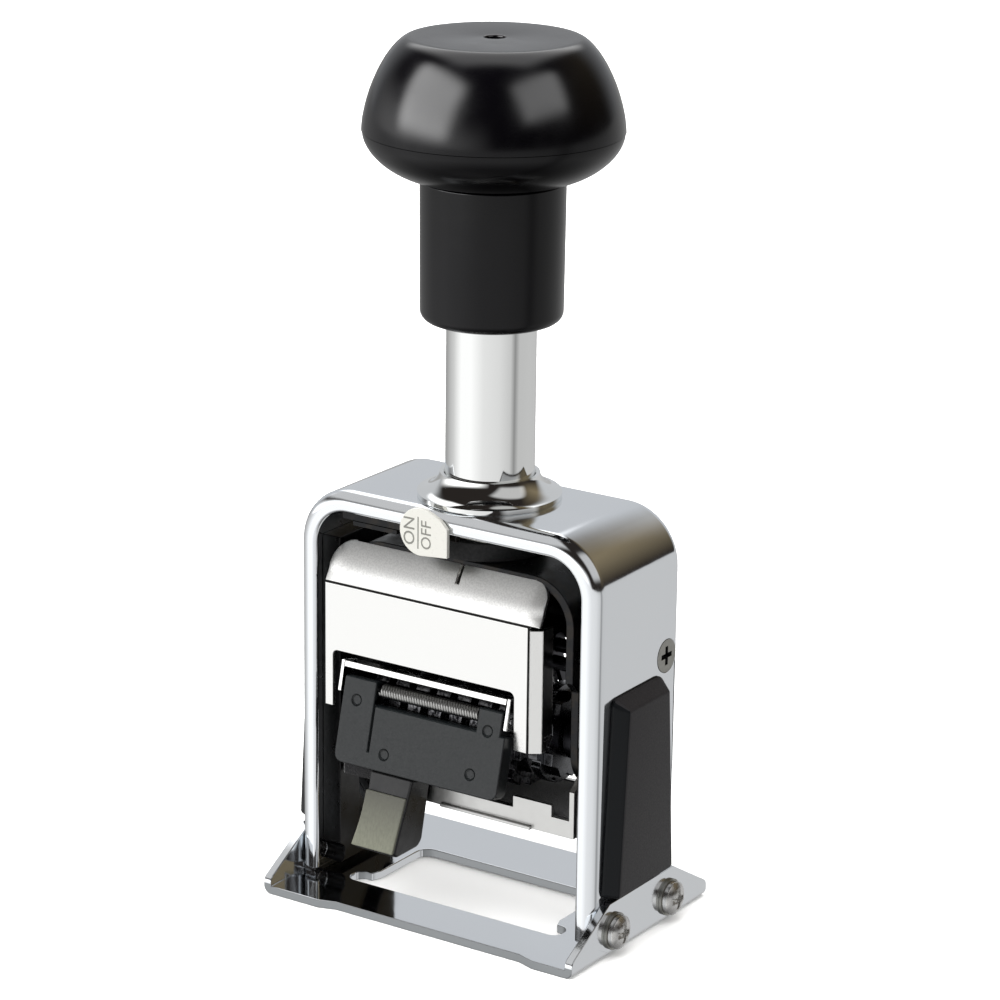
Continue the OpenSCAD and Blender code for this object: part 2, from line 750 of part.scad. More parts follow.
// A washer or tube on the wheel shaft.
module shaft_ring(x0, x1, d)
    difference() {
        x_rod(x0, x1 - x0, d, 0, shaft_z);
        x_rod(x0 - through, x1 - x0 + 2 * through, shaft_d + 2 * run_gap, 0, shaft_z);
    }

bank_end_x = bank_x + wheel_count * wheel_pitch - wheel_gap;

module shaft_spacers() color("#a9a9a5") {
    shaft_ring(bracket_left_x + bracket_t + 0.05, bank_x - 0.1, 9);
    shaft_ring(bank_end_x + 0.1, bracket_right_x - 0.1, 9);
    shaft_ring(dial_x + 2 * dial_t + 0.4, yoke_x - yoke_t - 0.1, 8);
}

// One side plate of the hinge bracket, as (y, z): shaft boss, rod boss and hinge ear.
module bracket_side() {
    ear = [pin_y, pin_z];
    down = [-sin(guard_lean), -cos(guard_lean)];
    face = [-cos(guard_lean), sin(guard_lean)];
    polygon([[1, shaft_z - 4], [3.8, shaft_z + 2], [detent_y + 2.2, detent_z + 0.4],
             [detent_y - 1.6, detent_z + 1.6], ear - 3.9 * down - 2 * face, ear - 3.9 * down + 1.3 * face,
             ear + 1.6 * down + 1.3 * face, ear + 1.6 * down - 1.6 * face, [-4, shaft_z - 2]]);
    translate([0, shaft_z]) circle(4.4);
    translate([detent_y, detent_z]) circle(2.2);
}

module hinge_bracket() color("#cfd1d3")
    difference() {
        union() {
            along_x(bracket_left_x, bracket_t) bracket_side();
            along_x(bracket_right_x, bracket_t) bracket_side();
            guard_place()
                translate([bracket_left_x, -1.3, 3.1])
                    cube([bracket_right_x + bracket_t - bracket_left_x, 3.3, bracket_t]);
        }
        x_rod(-yoke_w, 2 * yoke_w, shaft_d + 2 * run_gap, 0, shaft_z);
        x_rod(-yoke_w, 2 * yoke_w, rod_d + 2 * run_gap, detent_y, detent_z);
        x_rod(-yoke_w, 2 * yoke_w, pin_d + 2 * run_gap, pin_y, pin_z);
    }

module detent_rod() color("#9fa0a1") x_rod(-yoke_x, yoke_w, rod_d, detent_y, detent_z);
module rocker_rod() color("#9fa0a1") x_rod(-yoke_x, yoke_w, rod_d, rocker_y, rocker_z);

// Left edge of the ratchet on wheel i.
function ratchet_x(i) = bank_x + i * wheel_pitch + ring_w;

// A finger from a rod down to a point just outside the ratchet teeth.
module finger_outline(rod, tip_angle, width) {
    reach = ratchet_r + finger_gap;
    tip = [reach * cos(tip_angle), shaft_z + reach * sin(tip_angle)];
    along = (tip - rod) / norm(tip - rod);
    side = [-along[1], along[0]];
    polygon([rod + width * side, rod - width * side, tip, tip + 0.8 * side]);
}

module detent_pawls() color("#86878a")
    for (i = [0:wheel_count - 1])
        difference() {
            along_x(ratchet_x(i) + 0.2, ratchet_w - 0.35) {
                translate([detent_y, detent_z]) circle(2.1);
                finger_outline([detent_y, detent_z], 108, 1.4);
            }
            x_rod(-yoke_w, 2 * yoke_w, rod_d + 2 * run_gap, detent_y, detent_z);
        }

module pawl_rocker() color("#7d7e80")
    difference() {
        union() {
            x_rod(bank_x + ring_w, (wheel_count - 1) * wheel_pitch + ratchet_w, 4.4, rocker_y, rocker_z);
            for (i = [0:wheel_count - 1])
                along_x(ratchet_x(i) + 0.2, ratchet_w - 0.35)
                    finger_outline([rocker_y, rocker_z], 36, 1.5);
        }
        x_rod(-yoke_w, 2 * yoke_w, rod_d + 2 * run_gap, rocker_y, rocker_z);
    }

// ---------- number wheels ----------

// One wheel: ten type blocks on a ring, and a ratchet of ten teeth beside it.
module number_wheel(i) color("#55565a") {
    block_top = sqrt(type_r * type_r - block_w * block_w / 4);
    root_r = ratchet_r - 1.5;
    difference() {
        union() {
            x_rod(bank_x + i * wheel_pitch, ring_w, 17.6, 0, shaft_z);
            for (k = [0:digits - 1])
                translate([bank_x + i * wheel_pitch + 0.1, 0, shaft_z]) rotate([k * 360 / digits, 0, 0])
                    translate([0, -block_w / 2, 6]) cube([ring_w - 0.2, block_w, block_top - 6]);
            along_x(ratchet_x(i), ratchet_w)
                translate([0, shaft_z])
                    polygon([for (k = [0:digits - 1], j = [0, 1])
                        let (a = (k + j) * 360 / digits - 6 * j, r = j == 0 ? root_r : ratchet_r)
                            [r * cos(a), r * sin(a)]]);
        }
        x_rod(-yoke_w, 2 * yoke_w, shaft_d + 2 * run_gap, 0, shaft_z);
    }
}

module repeat_dial() color("#b9bbbd")
    difference() {
        x_rod(dial_x, dial_t, 2 * dial_r, 0, shaft_z);
        x_rod(-yoke_w, 2 * yoke_w, shaft_d + 2 * run_gap, 0, shaft_z);
        for (k = [0:7])
            translate([dial_x - through, 0, shaft_z]) rotate([k * 45 + 22.5, 0, 0])
                translate([0, dial_r, 0]) rotate([0, 90, 0]) cylinder(h = dial_t + 2 * through, d = 1.6);
    }

module dial_ratchet() color("#8d8f92")
    difference() {
        along_x(dial_x + dial_t, dial_t)
            translate([0, shaft_z])
                polygon([for (k = [0:23]) let (a = k * 15, r = dial_ratchet_r - (k % 2) * 0.9)
                    [r * cos(a), r * sin(a)]]);
        x_rod(-yoke_w, 2 * yoke_w, shaft_d + 2 * run_gap, 0, shaft_z);
    }

// ---------- ink pad ----------

module pad_tray() color("#c4c4be")
    difference() {
        union() {
            along_x(-arm_x - arm_t, 2 * (arm_x + arm_t))
                polygon([[-tray_front, shaft_z - tray_floor], [tray_rear, shaft_z - tray_floor],
                         [tray_rear, shaft_z - pad_top], [tray_rear - tray_t, shaft_z - pad_top],
                         [tray_rear - tray_t, shaft_z - tray_floor + tray_t],
                         [-tray_front + tray_t, shaft_z - tray_floor + tray_t],
                         [-tray_front + tray_t, shaft_z - pad_top], [-tray_front, shaft_z - pad_top]]);
            both_sides()
                along_x(arm_x, arm_t) {
                    polygon([[-tray_front, shaft_z - tray_floor], [tray_rear, shaft_z - tray_floor],
                             [tray_rear, shaft_z - pad_top], [4.2, shaft_z], [-4.2, shaft_z],
                             [-tray_front, shaft_z - 5.6]]);
                    translate([0, shaft_z]) circle(4.2);
                }
            translate([12.3, -tray_front, shaft_z - pad_top - 0.5]) cube([7.7, tray_t, 2.5]);
            translate([-2, -tray_front - 0.7, shaft_z - tray_floor]) cube([18.2, 1, 0.6]);
        }
        translate([-frame_w, -tray_front - through, 0])
            cube([frame_w + tray_notch_x, tray_notch_d + through, shaft_z - 2.4]);
        x_rod(-yoke_w, 2 * yoke_w, shaft_d + 2 * run_gap, 0, shaft_z);
        both_sides()
            x_rod(arm_x - through, arm_t + 2 * through, follower_d, follower_at(0)[0], follower_at(0)[1]);
    }

module ink_pad() color("#1a1a1c")
    translate([-arm_x + 0.1, -tray_front + tray_t + 0.1, shaft_z - tray_floor + tray_t])
        cube([2 * arm_x - 0.2, tray_front + tray_rear - 2 * tray_t - 0.2, pad_t]);

module follower_pins() color("#a2a3a5")
    both_sides()
        x_rod(arm_x, leg_x - slide_gap - arm_x, follower_d, follower_at(0)[0], follower_at(0)[1]);

// ---------- front guard ----------

module guard_plate() color("#33393c")
    guard_place()
        difference() {
            union() {
                guard_ear(guard_left_x, ear_left_w);
                guard_ear(guard_right_x - ear_right_w, ear_right_w);
                along_y(-guard_front, guard_front + guard_back) {
                    translate([guard_left_x, -guard_len + 1.5])
                        square([guard_wide_x - guard_left_x, guard_len - 1.5 - recess_z]);
                    translate([guard_left_x + 1.5, -guard_len])
                        square([guard_wide_x - 3 - guard_left_x, 2]);
                    for (x = [guard_left_x + 1.5, guard_wide_x - 1.5])
                        translate([x, -guard_len + 1.5]) circle(1.5);
                }
            }
            translate([guard_left_x - through, 0, 0]) rotate([0, 90, 0]) cylinder(h = 40, d = pin_d);
            translate([guard_left_x + ear_left_w, -guard_front - through, -10.5])
                cube([0.35, through + 0.35, 10.5 - recess_z]);
            for (dot = [[-17, -2.4], [9.6, -2.2], [-10, -10.4], [7.4, -10]])
                translate([dot[0], 0.25 - guard_front, dot[1]]) rotate([90, 0, 0])
                    cylinder(h = through, d = 1.8);
        }

// One of the two ears that carry the hinge pin.
module guard_ear(x, w) {
    translate([x, -guard_front, -recess_z - 1])
        cube([w, guard_front + guard_back, recess_z + 1]);
    translate([x, 0, 0]) rotate([0, 90, 0]) cylinder(h = w, r = guard_back);
    translate([x, -guard_front, 0]) cube([w, guard_front, guard_back]);
}

// Outline of the foot lever seen from the front: its left edge curves in.
module foot_outline(drop) {
    steps = 8;
    polygon(concat([[-3.8, -guard_len], [-5.6, -guard_len - drop], [-14.2, -guard_len - drop]],
                   [for (i = [1:steps]) let (u = i / steps)
                       [-14.2 + 1.7 * u + 0.6 * sin(180 * u), -guard_len - drop * (1 - u)]]));
}

// Front face of the foot lever, as y at the given drop below the guard.
function foot_face_y(drop) = -1.2 + 0.3 * drop / foot_len;

module foot_lever() color("#17181a")
    guard_place()
        intersection() {
            along_y(-6, 20) foot_outline(foot_len + 0.4);
            along_x(-20, 30)
                polygon([[foot_face_y(0), -guard_len],
                         [foot_face_y(foot_len - 0.4), -guard_len - foot_len + 0.4],
                         [0.4, -guard_len - foot_len - 0.2], [6.1, -guard_len - foot_len + 1.4],
                         [6.8, -guard_len - foot_len + 2.7], [4.4, -guard_len]]);
        }

module foot_pad() color("#8f9182")
    guard_place()
        intersection() {
            along_y(-6, 20) foot_outline(foot_len);
            along_x(-20, 30)
                polygon([[foot_face_y(3.4), -guard_len - 3.4], [foot_face_y(3.4) - 0.6, -guard_len - 3.4],
                         [foot_face_y(foot_len - 0.5) - 0.6, -guard_len - foot_len + 0.5],
                         [foot_face_y(foot_len - 0.5), -guard_len - foot_len + 0.5]]);
        }

module guard_pin() color("#a2a3a5")
    x_rod(bracket_left_x - 0.1, bracket_right_x + bracket_t - bracket_left_x + 0.3, pin_d, pin_y, pin_z);

module guard_spring() color("#4a4b4d")
    translate([guard_left_x + ear_left_w + 0.3, pin_y, pin_z]) rotate([0, 90, 0])
        spring_body(guard_right_x - guard_left_x - ear_left_w - ear_right_w - 0.6, 0.86, 0.27, 40);

// ---------- assembly ----------

outer_frame();
base_plate();
base_screws();
base_washers();
side_grip_left();
side_grip_right();
guide_liner_left();
guide_liner_right();
liner_screws();
guide_bush();
bush_nut();
lock_guide();
lock_tab();
handle_knob();
handle_screw();
handle_sleeve();
plunger_tube();
yoke_nut();
rubber_stop();
carriage_yoke();
front_cover();
return_springs();
wheel_shaft();
shaft_spacers();
hinge_bracket();
detent_rod();
detent_pawls();
rocker_rod();
pawl_rocker();
number_wheel(0);  // number_wheel_1
number_wheel(1);  // number_wheel_2
number_wheel(2);  // number_wheel_3
number_wheel(3);  // number_wheel_4
number_wheel(4);  // number_wheel_5
number_wheel(5);  // number_wheel_6
number_wheel(6);  // number_wheel_7
repeat_dial();
dial_ratchet();
pad_tray();
ink_pad();
follower_pins();
guard_plate();
foot_lever();
foot_pad();
guard_pin();
guard_spring();
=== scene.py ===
import bmesh
import bpy
import numpy as np
from mathutils import Matrix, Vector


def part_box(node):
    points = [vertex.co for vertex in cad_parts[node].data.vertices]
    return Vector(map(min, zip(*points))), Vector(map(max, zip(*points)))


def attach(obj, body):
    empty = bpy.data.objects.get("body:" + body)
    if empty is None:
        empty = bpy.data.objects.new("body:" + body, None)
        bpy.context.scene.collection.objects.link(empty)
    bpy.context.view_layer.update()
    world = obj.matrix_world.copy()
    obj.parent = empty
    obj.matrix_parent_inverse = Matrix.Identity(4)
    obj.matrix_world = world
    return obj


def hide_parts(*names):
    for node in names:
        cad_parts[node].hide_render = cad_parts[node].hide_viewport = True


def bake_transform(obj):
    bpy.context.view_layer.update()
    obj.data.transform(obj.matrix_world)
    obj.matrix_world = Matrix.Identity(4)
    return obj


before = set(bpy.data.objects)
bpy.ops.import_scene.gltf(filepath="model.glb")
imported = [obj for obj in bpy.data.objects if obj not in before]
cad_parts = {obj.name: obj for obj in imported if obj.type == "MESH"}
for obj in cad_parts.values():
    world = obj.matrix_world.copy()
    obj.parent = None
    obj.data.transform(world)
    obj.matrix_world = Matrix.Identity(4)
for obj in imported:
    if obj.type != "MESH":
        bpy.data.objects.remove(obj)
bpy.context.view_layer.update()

# Looks of the hand numbering machine. Lengths are in millimetres unless a name ends in _m.
MM = 0.001
scene = bpy.context.scene


def linear(hex_colour):
    """Linear RGBA of an sRGB colour written as hex."""
    s = np.array([int(hex_colour[i:i + 2], 16) for i in (1, 3, 5)]) / 255
    rgb = np.where(s <= 0.04045, s / 12.92, ((s + 0.055) / 1.055) ** 2.4)
    return (*rgb.tolist(), 1.0)


def add(tree, kind, inputs=None, **settings):
    """Adds a shader node of that kind. Each input takes a plain value or another node's output."""
    made = tree.nodes.new("ShaderNode" + kind)
    for name, value in settings.items():
        setattr(made, name, value)
    for name, value in (inputs or {}).items():
        if isinstance(value, bpy.types.NodeSocket):
            tree.links.new(value, made.inputs[name])
        else:
            made.inputs[name].default_value = value
    return made


# ---------- camera ----------

camera = bpy.data.objects.new("camera", bpy.data.cameras.new("camera"))
scene.collection.objects.link(camera)
scene.camera = camera
camera_axes = np.array([(0.83167, 0.55514, 0.01176),
                        (-0.17432, 0.24094, 0.95476),
                        (0.52719, -0.79610, 0.29716)])
camera_spot = np.array([329.73, -494.78, 256.16]) * MM
placed = np.eye(4)
placed[:3, :3] = camera_axes.T
placed[:3, 3] = camera_spot
camera.matrix_world = Matrix(placed.tolist())
camera.data.sensor_width = 36
camera.data.lens = 134.47
camera.data.clip_start = 0.01

# ---------- light ----------

scene.view_settings.view_transform = "Standard"


def horizontal(azimuth):
    """Unit direction at that azimuth, where 0 is the front and 90 the right."""
    turn = np.radians(azimuth)
    return np.array([np.sin(turn), -np.cos(turn), 0.0])


handle_only = bpy.data.collections.new("handle_only")
all_but_handle = bpy.data.collections.new("all_but_handle")
sheet_only = bpy.data.collections.new("sheet_only")
floor_only = bpy.data.collections.new("floor_only")

# The panels face this height on the machine. Their light is nothing at the rim, half a width from the
# middle, and full from panel_full inwards.
panel_aim_m = 0.09
panel_rim, panel_full = 0.5, 0.26


def softbox(name, azimuth, elevation, reach_m, width_m, height_m, radiance, lit):
    """A panel that faces the machine and shows in the gloss of the lit pieces only, so that it leaves the
    floor even. Its light falls off towards its edges."""
    light = bpy.data.lights.new(name, "AREA")
    light.shape = "RECTANGLE"
    light.size = width_m
    light.size_y = height_m
    light.energy = radiance * np.pi * width_m * height_m
    light.use_nodes = True
    tree = light.node_tree
    spot = add(tree, "NewGeometry").outputs["Parametric"]
    from_middle = add(tree, "VectorMath", {0: spot, 1: (0.5, 0.5, 0.0)}, operation="SUBTRACT")
    off_middle = add(tree, "VectorMath", {0: from_middle.outputs["Vector"]}, operation="ABSOLUTE")
    sides = add(tree, "SeparateXYZ", {"Vector": off_middle.outputs["Vector"]}).outputs
    fades = [add(tree, "MapRange", {"Value": sides[axis], "From Min": panel_rim, "From Max": panel_full},
                 interpolation_type="SMOOTHSTEP").outputs["Result"] for axis in "XY"]
    both = add(tree, "Math", {0: fades[0], 1: fades[1]}, operation="MULTIPLY")
    tree.links.new(both.outputs[0], tree.nodes["Emission"].inputs["Strength"])
    panel = bpy.data.objects.new(name, light)
    scene.collection.objects.link(panel)
    rise = np.radians(elevation)
    outward = horizontal(azimuth) * np.cos(rise) + np.array([0, 0, np.sin(rise)])
    sideways = np.cross([0, 0, 1], outward)
    sideways /= np.linalg.norm(sideways)
    stand = np.eye(4)
    stand[:3, 0] = sideways
    stand[:3, 1] = np.cross(outward, sideways)
    stand[:3, 2] = outward
    stand[:3, 3] = outward * reach_m + np.array([0, 0, panel_aim_m])
    panel.matrix_world = Matrix(stand.tolist())
    panel.visible_camera = False
    panel.visible_diffuse = False
    panel.light_linking.receiver_collection = lit


# Bright panels for the black handle alone, and weak ones for the metal and the matt plastics.
softbox("handle_left", -33, 30, 0.8, 1.0, 0.8, 11.0, handle_only)
softbox("handle_right", 84, 38, 0.8, 0.8, 0.52, 5.4, handle_only)
softbox("handle_top", 213.5, 68, 0.8, 1.2, 1.6, 3.2, handle_only)
softbox("softbox_left", -136, 42, 0.8, 0.56, 0.54, 1.35, all_but_handle)
softbox("softbox_front", -64, 48, 0.8, 1.6, 0.85, 0.58, sheet_only)
softbox("softbox_right", 85, 40, 0.8, 1.2, 0.95, 0.54, all_but_handle)

sky = bpy.data.lights.new("overhead", "SUN")
sky.energy = 3.6
sky.angle = np.radians(70)
overhead = bpy.data.objects.new("overhead", sky)
scene.collection.objects.link(overhead)
overhead.rotation_euler = (np.radians(18), np.radians(-14), 0)
overhead.visible_glossy = False

# More of the same soft light for the floor alone keeps the shadow on it faint.
wash_light = bpy.data.lights.new("floor_wash", "SUN")
wash_light.energy = 4.5
wash_light.angle = np.radians(150)
wash = bpy.data.objects.new("floor_wash", wash_light)
scene.collection.objects.link(wash)
wash.visible_glossy = False
wash.light_linking.receiver_collection = floor_only

# Above the horizon the surroundings are dim, and browner towards the right back, with a grey backdrop at the
# left back and a low glow at the front left. Below the horizon gloss sees a pale sweep, given as levels by
# azimuth: brightest at the front left, darkest on the right, and dim underfoot.
SWEEP = ((-180, 0.58), (-150, 0.44), (-115, 0.37), (-75, 0.7), (-48, 1.15), (-18, 1.15), (15, 0.88),
         (55, 0.8), (85, 0.64), (97, 0.3), (110, 0.58), (146, 0.6), (180, 0.58))
brightest = 1.15
backdrop_at, glow_at, haze_at = 213.5, -33, 158
world = bpy.data.worlds.new("studio")
scene.world = world
world.use_nodes = True
air = world.node_tree
air.nodes.clear()
look = add(air, "TexCoord").outputs["Generated"]
parts = add(air, "SeparateXYZ", {"Vector": look}).outputs
height = parts["Z"]
behind = add(air, "VectorMath", {0: look, 1: horizontal(backdrop_at).tolist()}, operation="DOT_PRODUCT")
near_back = add(air, "MapRange", {"Value": behind.outputs["Value"], "From Min": 0.45, "From Max": 0.80},
                interpolation_type="SMOOTHSTEP")
below_top = add(air, "MapRange", {"Value": height, "From Min": 0.75, "From Max": 0.45},
                interpolation_type="SMOOTHSTEP")
backdrop = add(air, "Math", {0: near_back.outputs["Result"], 1: below_top.outputs["Result"]},
               operation="MULTIPLY")
facing = add(air, "VectorMath", {0: look, 1: horizontal(glow_at).tolist()}, operation="DOT_PRODUCT")
ahead = add(air, "MapRange", {"Value": facing.outputs["Value"], "From Min": 0.4, "From Max": 0.9})
low = add(air, "MapRange", {"Value": height, "From Min": 0.42, "From Max": 0.1},
          interpolation_type="SMOOTHSTEP")
front_glow = add(air, "Math", {0: ahead.outputs["Result"], 1: low.outputs["Result"]}, operation="MULTIPLY")
right_back = add(air, "VectorMath", {0: look, 1: horizontal(haze_at).tolist()}, operation="DOT_PRODUCT")
haze = add(air, "MapRange", {"Value": right_back.outputs["Value"], "From Min": 0.5, "From Max": 0.85})
raised = add(air, "MapRange", {"Value": height, "From Min": 0.02, "From Max": 0.5})
brown = add(air, "Math", {0: haze.outputs["Result"], 1: raised.outputs["Result"]}, operation="MULTIPLY")
dim = add(air, "Mix", {"Factor": brown.outputs[0], 6: linear("#2a2624"), 7: linear("#82765f")},
          data_type="RGBA")
grey_back = add(air, "Mix", {"Factor": backdrop.outputs[0], 6: dim.outputs[2], 7: linear("#c9cbce")},
                data_type="RGBA")
upper = add(air, "Mix", {"Factor": front_glow.outputs[0], 6: grey_back.outputs[2], 7: (2.3, 2.3, 2.3, 1)},
            data_type="RGBA")
backward = add(air, "Math", {0: parts["Y"], 1: -1.0}, operation="MULTIPLY")
azimuth = add(air, "Math", {0: parts["X"], 1: backward.outputs[0]}, operation="ARCTAN2")
share = add(air, "MapRange", {"Value": azimuth.outputs[0], "From Min": -np.pi, "From Max": np.pi})
sweep = add(air, "ValToRGB", {"Fac": share.outputs["Result"]})
stops = sweep.color_ramp.elements
for degrees, level in SWEEP[1:-1]:
    stops.new((degrees + 180) / 360)
for stop, (degrees, level) in zip(stops, SWEEP):
    stop.color = (level / brightest, level / brightest, level / brightest, 1)
underfoot = add(air, "MapRange", {"Value": height, "From Min": -0.9, "From Max": -0.58,
                                  "To Min": 0.25 * brightest, "To Max": brightest})
lower = add(air, "VectorMath", {0: sweep.outputs["Color"], "Scale": underfoot.outputs["Result"]},
            operation="SCALE")
under = add(air, "MapRange", {"Value": height, "From Min": 0.0, "From Max": -0.02})
room = add(air, "Mix", {"Factor": under.outputs["Result"], 6: upper.outputs[2], 7: lower.outputs["Vector"]},
           data_type="RGBA")
seen = add(air, "LightPath").outputs["Is Camera Ray"]
shown = add(air, "Mix", {"Factor": seen, 6: room.outputs[2], 7: linear("#ffffff")}, data_type="RGBA")
glow = add(air, "Background", {"Color": shown.outputs[2]})
add(air, "OutputWorld", {"Surface": glow.outputs["Background"]})


# ---------- materials ----------

def material(name, colour, **sockets):
    """A Principled material of that sRGB colour. Other sockets are named with _ for spaces."""
    made = bpy.data.materials.new(name)
    made.use_nodes = True
    shader = made.node_tree.nodes["Principled BSDF"]
    shader.inputs["Base Color"].default_value = linear(colour)
    for socket, value in sockets.items():
        shader.inputs[socket.replace("_", " ")].default_value = value
    return made


def texture(made, size, stretch=(1, 1, 1), rough=None, depth=0.0, tint=None, cover=(0.45, 0.6)):
    """Noise with features of that size, drawn out along an axis by stretch. It moves the roughness between
    two values, dents the surface by depth and mixes in the tint where the noise is above cover."""
    tree = made.node_tree
    shader = tree.nodes["Principled BSDF"]
    place = add(tree, "TexCoord").outputs["Object"]
    drawn = add(tree, "Mapping", {"Vector": place, "Scale": [1 / s for s in stretch]})
    noise = add(tree, "TexNoise", {"Vector": drawn.outputs["Vector"], "Scale": 1 / (size * MM),
                                   "Detail": 3.0})
    if rough:
        spread = add(tree, "MapRange", {"Value": noise.outputs[0], "From Min": 0.3, "From Max": 0.7,
                                        "To Min": rough[0], "To Max": rough[1]})
        tree.links.new(spread.outputs["Result"], shader.inputs["Roughness"])
    if depth:
        bump = add(tree, "Bump", {"Height": noise.outputs[0], "Distance": depth * MM})
        if shader.inputs["Normal"].is_linked:
            tree.links.new(shader.inputs["Normal"].links[0].from_socket, bump.inputs["Normal"])
        tree.links.new(bump.outputs["Normal"], shader.inputs["Normal"])
    if tint:
        share = add(tree, "MapRange", {"Value": noise.outputs[0], "From Min": cover[0],
                                       "From Max": cover[1]})
        base = shader.inputs["Base Color"]
        mixed = add(tree, "Mix", {"Factor": share.outputs["Result"], 7: linear(tint)}, data_type="RGBA")
        if base.is_linked:
            tree.links.new(base.links[0].from_socket, mixed.inputs[6])
        else:
            mixed.inputs[6].default_value = base.default_value[:]
        tree.links.new(mixed.outputs[2], base)
    return made


def faded(made, from_z, to_z, far_colour):
    """The colour turns from far_colour at the height from_z into its own at to_z, both in mm."""
    tree = made.node_tree
    base = tree.nodes["Principled BSDF"].inputs["Base Color"]
    height = add(tree, "SeparateXYZ", {"Vector": add(tree, "TexCoord").outputs["Object"]}).outputs["Z"]
    share = add(tree, "MapRange", {"Value": height, "From Min": from_z * MM, "From Max": to_z * MM})
    mixed = add(tree, "Mix", {"Factor": share.outputs["Result"], 6: linear(far_colour),
                              7: base.links[0].from_socket}, data_type="RGBA")
    tree.links.new(mixed.outputs[2], base)


# Bright chrome on pressed steel: clear reflections that waver a little, with faint polishing haze.
chrome = material("chromed_steel", "#eef1f4", Metallic=1.0, Roughness=0.09)
texture(chrome, 14, rough=(0.06, 0.13), depth=0.03)
# Chrome on turned steel: cleaner and whiter than the sheet.
turned_chrome = material("turned_chrome", "#eff0ef", Metallic=1.0, Roughness=0.05)
# The base's front edge, sheared and only thinly plated: grey and duller.
cut_edge = material("sheared_edge", "#8f9294", Metallic=1.0, Roughness=0.3)
# Satin nickel on the cover and the bail: a near-white sheen with a fine grain.
satin_nickel = material("satin_nickel", "#eeeeec", Metallic=1.0, Roughness=0.2)
texture(satin_nickel, 0.25, rough=(0.15, 0.27), depth=0.0015)
# The cover's pressed head: duller from the pressing, with a coarser grain, and painted grey towards its top.
pressed_nickel_painted_grey_top = material("pressed_nickel_painted_grey_top", "#f4f4f2", Metallic=1.0, Roughness=0.34)
texture(pressed_nickel_painted_grey_top, 0.3, rough=(0.28, 0.42), depth=0.003, tint="#e4e4e2", cover=(0.4, 0.6))
# Painted reflection and shade of the dark frame above: grey at the head's top, fading to the nickel's own
# colour lower down.
faded(pressed_nickel_painted_grey_top, 64.5, 60, "#8a8b8b")
# Nickel on screws: warm bright metal with small dull spots from handling.
nickel = material("nickel_plated_screw", "#dedddb", Metallic=1.0, Roughness=0.24)
texture(nickel, 0.8, rough=(0.18, 0.34), depth=0.01)
# Zinc on washers, nuts and liner screws: greyer and duller than the nickel.
zinc = material("zinc_plated_steel", "#a3a29c", Metallic=1.0, Roughness=0.35)
texture(zinc, 0.6, rough=(0.28, 0.45), depth=0.008)
# Ground bright steel on the wheel shaft and the pins.
bright_steel = material("ground_steel", "#b7b8ba", Metallic=1.0, Roughness=0.22)
texture(bright_steel, 0.15, stretch=(1, 12, 12), rough=(0.16, 0.3))
# Blued steel of the rods, spacers and pawls in the bank: nearly black, a dark that also paints the shade
# inside the carriage.
blued_steel_and_shade = material("blued_steel_and_shade", "#3c3c40", Metallic=1.0, Roughness=0.34)
texture(blued_steel_and_shade, 0.6, rough=(0.28, 0.42))
# Moulded black plastic of the knob and sleeve: a deep gloss with soft wide waves in it.
gloss_plastic = material("gloss_black_plastic", "#060509", Roughness=0.18, IOR=1.34)
texture(gloss_plastic, 6, rough=(0.15, 0.22), depth=0.01)
# Spark-eroded grip plastic: charcoal, matt, with a fine leathery grain.
grip_plastic = material("grained_grip_plastic", "#2c2a2d", Roughness=0.5, IOR=1.5)
texture(grip_plastic, 0.28, rough=(0.42, 0.6), depth=0.03)
# The grip's front flank: smoother from the mould, and painted almost black as shade on the side facing
# front.
smooth_shaded_plastic = material("smooth_grip_plastic_painted_shade", "#101316", Roughness=0.42, IOR=1.3)
# Plain satin plastic of the liners inside the legs.
liner_plastic = material("satin_liner_plastic", "#0a0a0c", Roughness=0.32, IOR=1.42)
texture(liner_plastic, 1.6, rough=(0.26, 0.4), depth=0.01)
# Black oxide on the yoke, the lock's bracket and the back of its tab: dark, with a brown-grey bloom.
black_oxide = material("black_oxide_steel", "#1b1c1e", Metallic=0.6, Roughness=0.34)
texture(black_oxide, 2.2, rough=(0.26, 0.44), tint="#2a2724")
# Spring steel of the return springs: blued wire, painted dark also as the shade inside the carriage.
spring_steel = material("blued_spring_wire_and_shade", "#19191b", Metallic=1.0, Roughness=0.4)
# Plain drawn wire of the guard spring: silver grey.
drawn_wire = material("drawn_spring_wire", "#b2b2b0", Metallic=1.0, Roughness=0.32)
# Type metal on the wheels: dark steel, with old ink lying in it.
type_metal = material("inked_type_steel", "#77777a", Metallic=1.0, Roughness=0.34)
texture(type_metal, 0.7, rough=(0.26, 0.5), tint="#2b2b2f", depth=0.01)
# Plated dial and its ratchet: mid grey with a faint grain.
dial_metal = material("plated_dial_steel", "#6e6f72", Metallic=1.0, Roughness=0.24)
texture(dial_metal, 1.1, rough=(0.2, 0.32), depth=0.004)
# Tinned tray sheet: pale, a little cloudy.
tray_metal = material("tinned_tray_sheet", "#cdcdcb", Metallic=1.0, Roughness=0.32)
texture(tray_metal, 1.2, rough=(0.28, 0.38), depth=0.001)
# Ink-soaked felt: nearly black, with a short nap.
felt = material("ink_soaked_felt", "#151417", Roughness=0.95, Sheen_Weight=0.4, IOR=1.4)
texture(felt, 0.25, depth=0.12)
# Guard plastic: dark slate with a slight green cast and a fine moulded grain.
guard_plastic = material("slate_guard_plastic", "#171b1d", Roughness=0.38, IOR=1.5)
texture(guard_plastic, 0.35, rough=(0.32, 0.46), depth=0.012)
# Foot lever: black plastic, a little shinier than the guard's.
foot_plastic = material("black_foot_plastic", "#141416", Roughness=0.3, IOR=1.5)
texture(foot_plastic, 2.0, rough=(0.24, 0.38), depth=0.02)
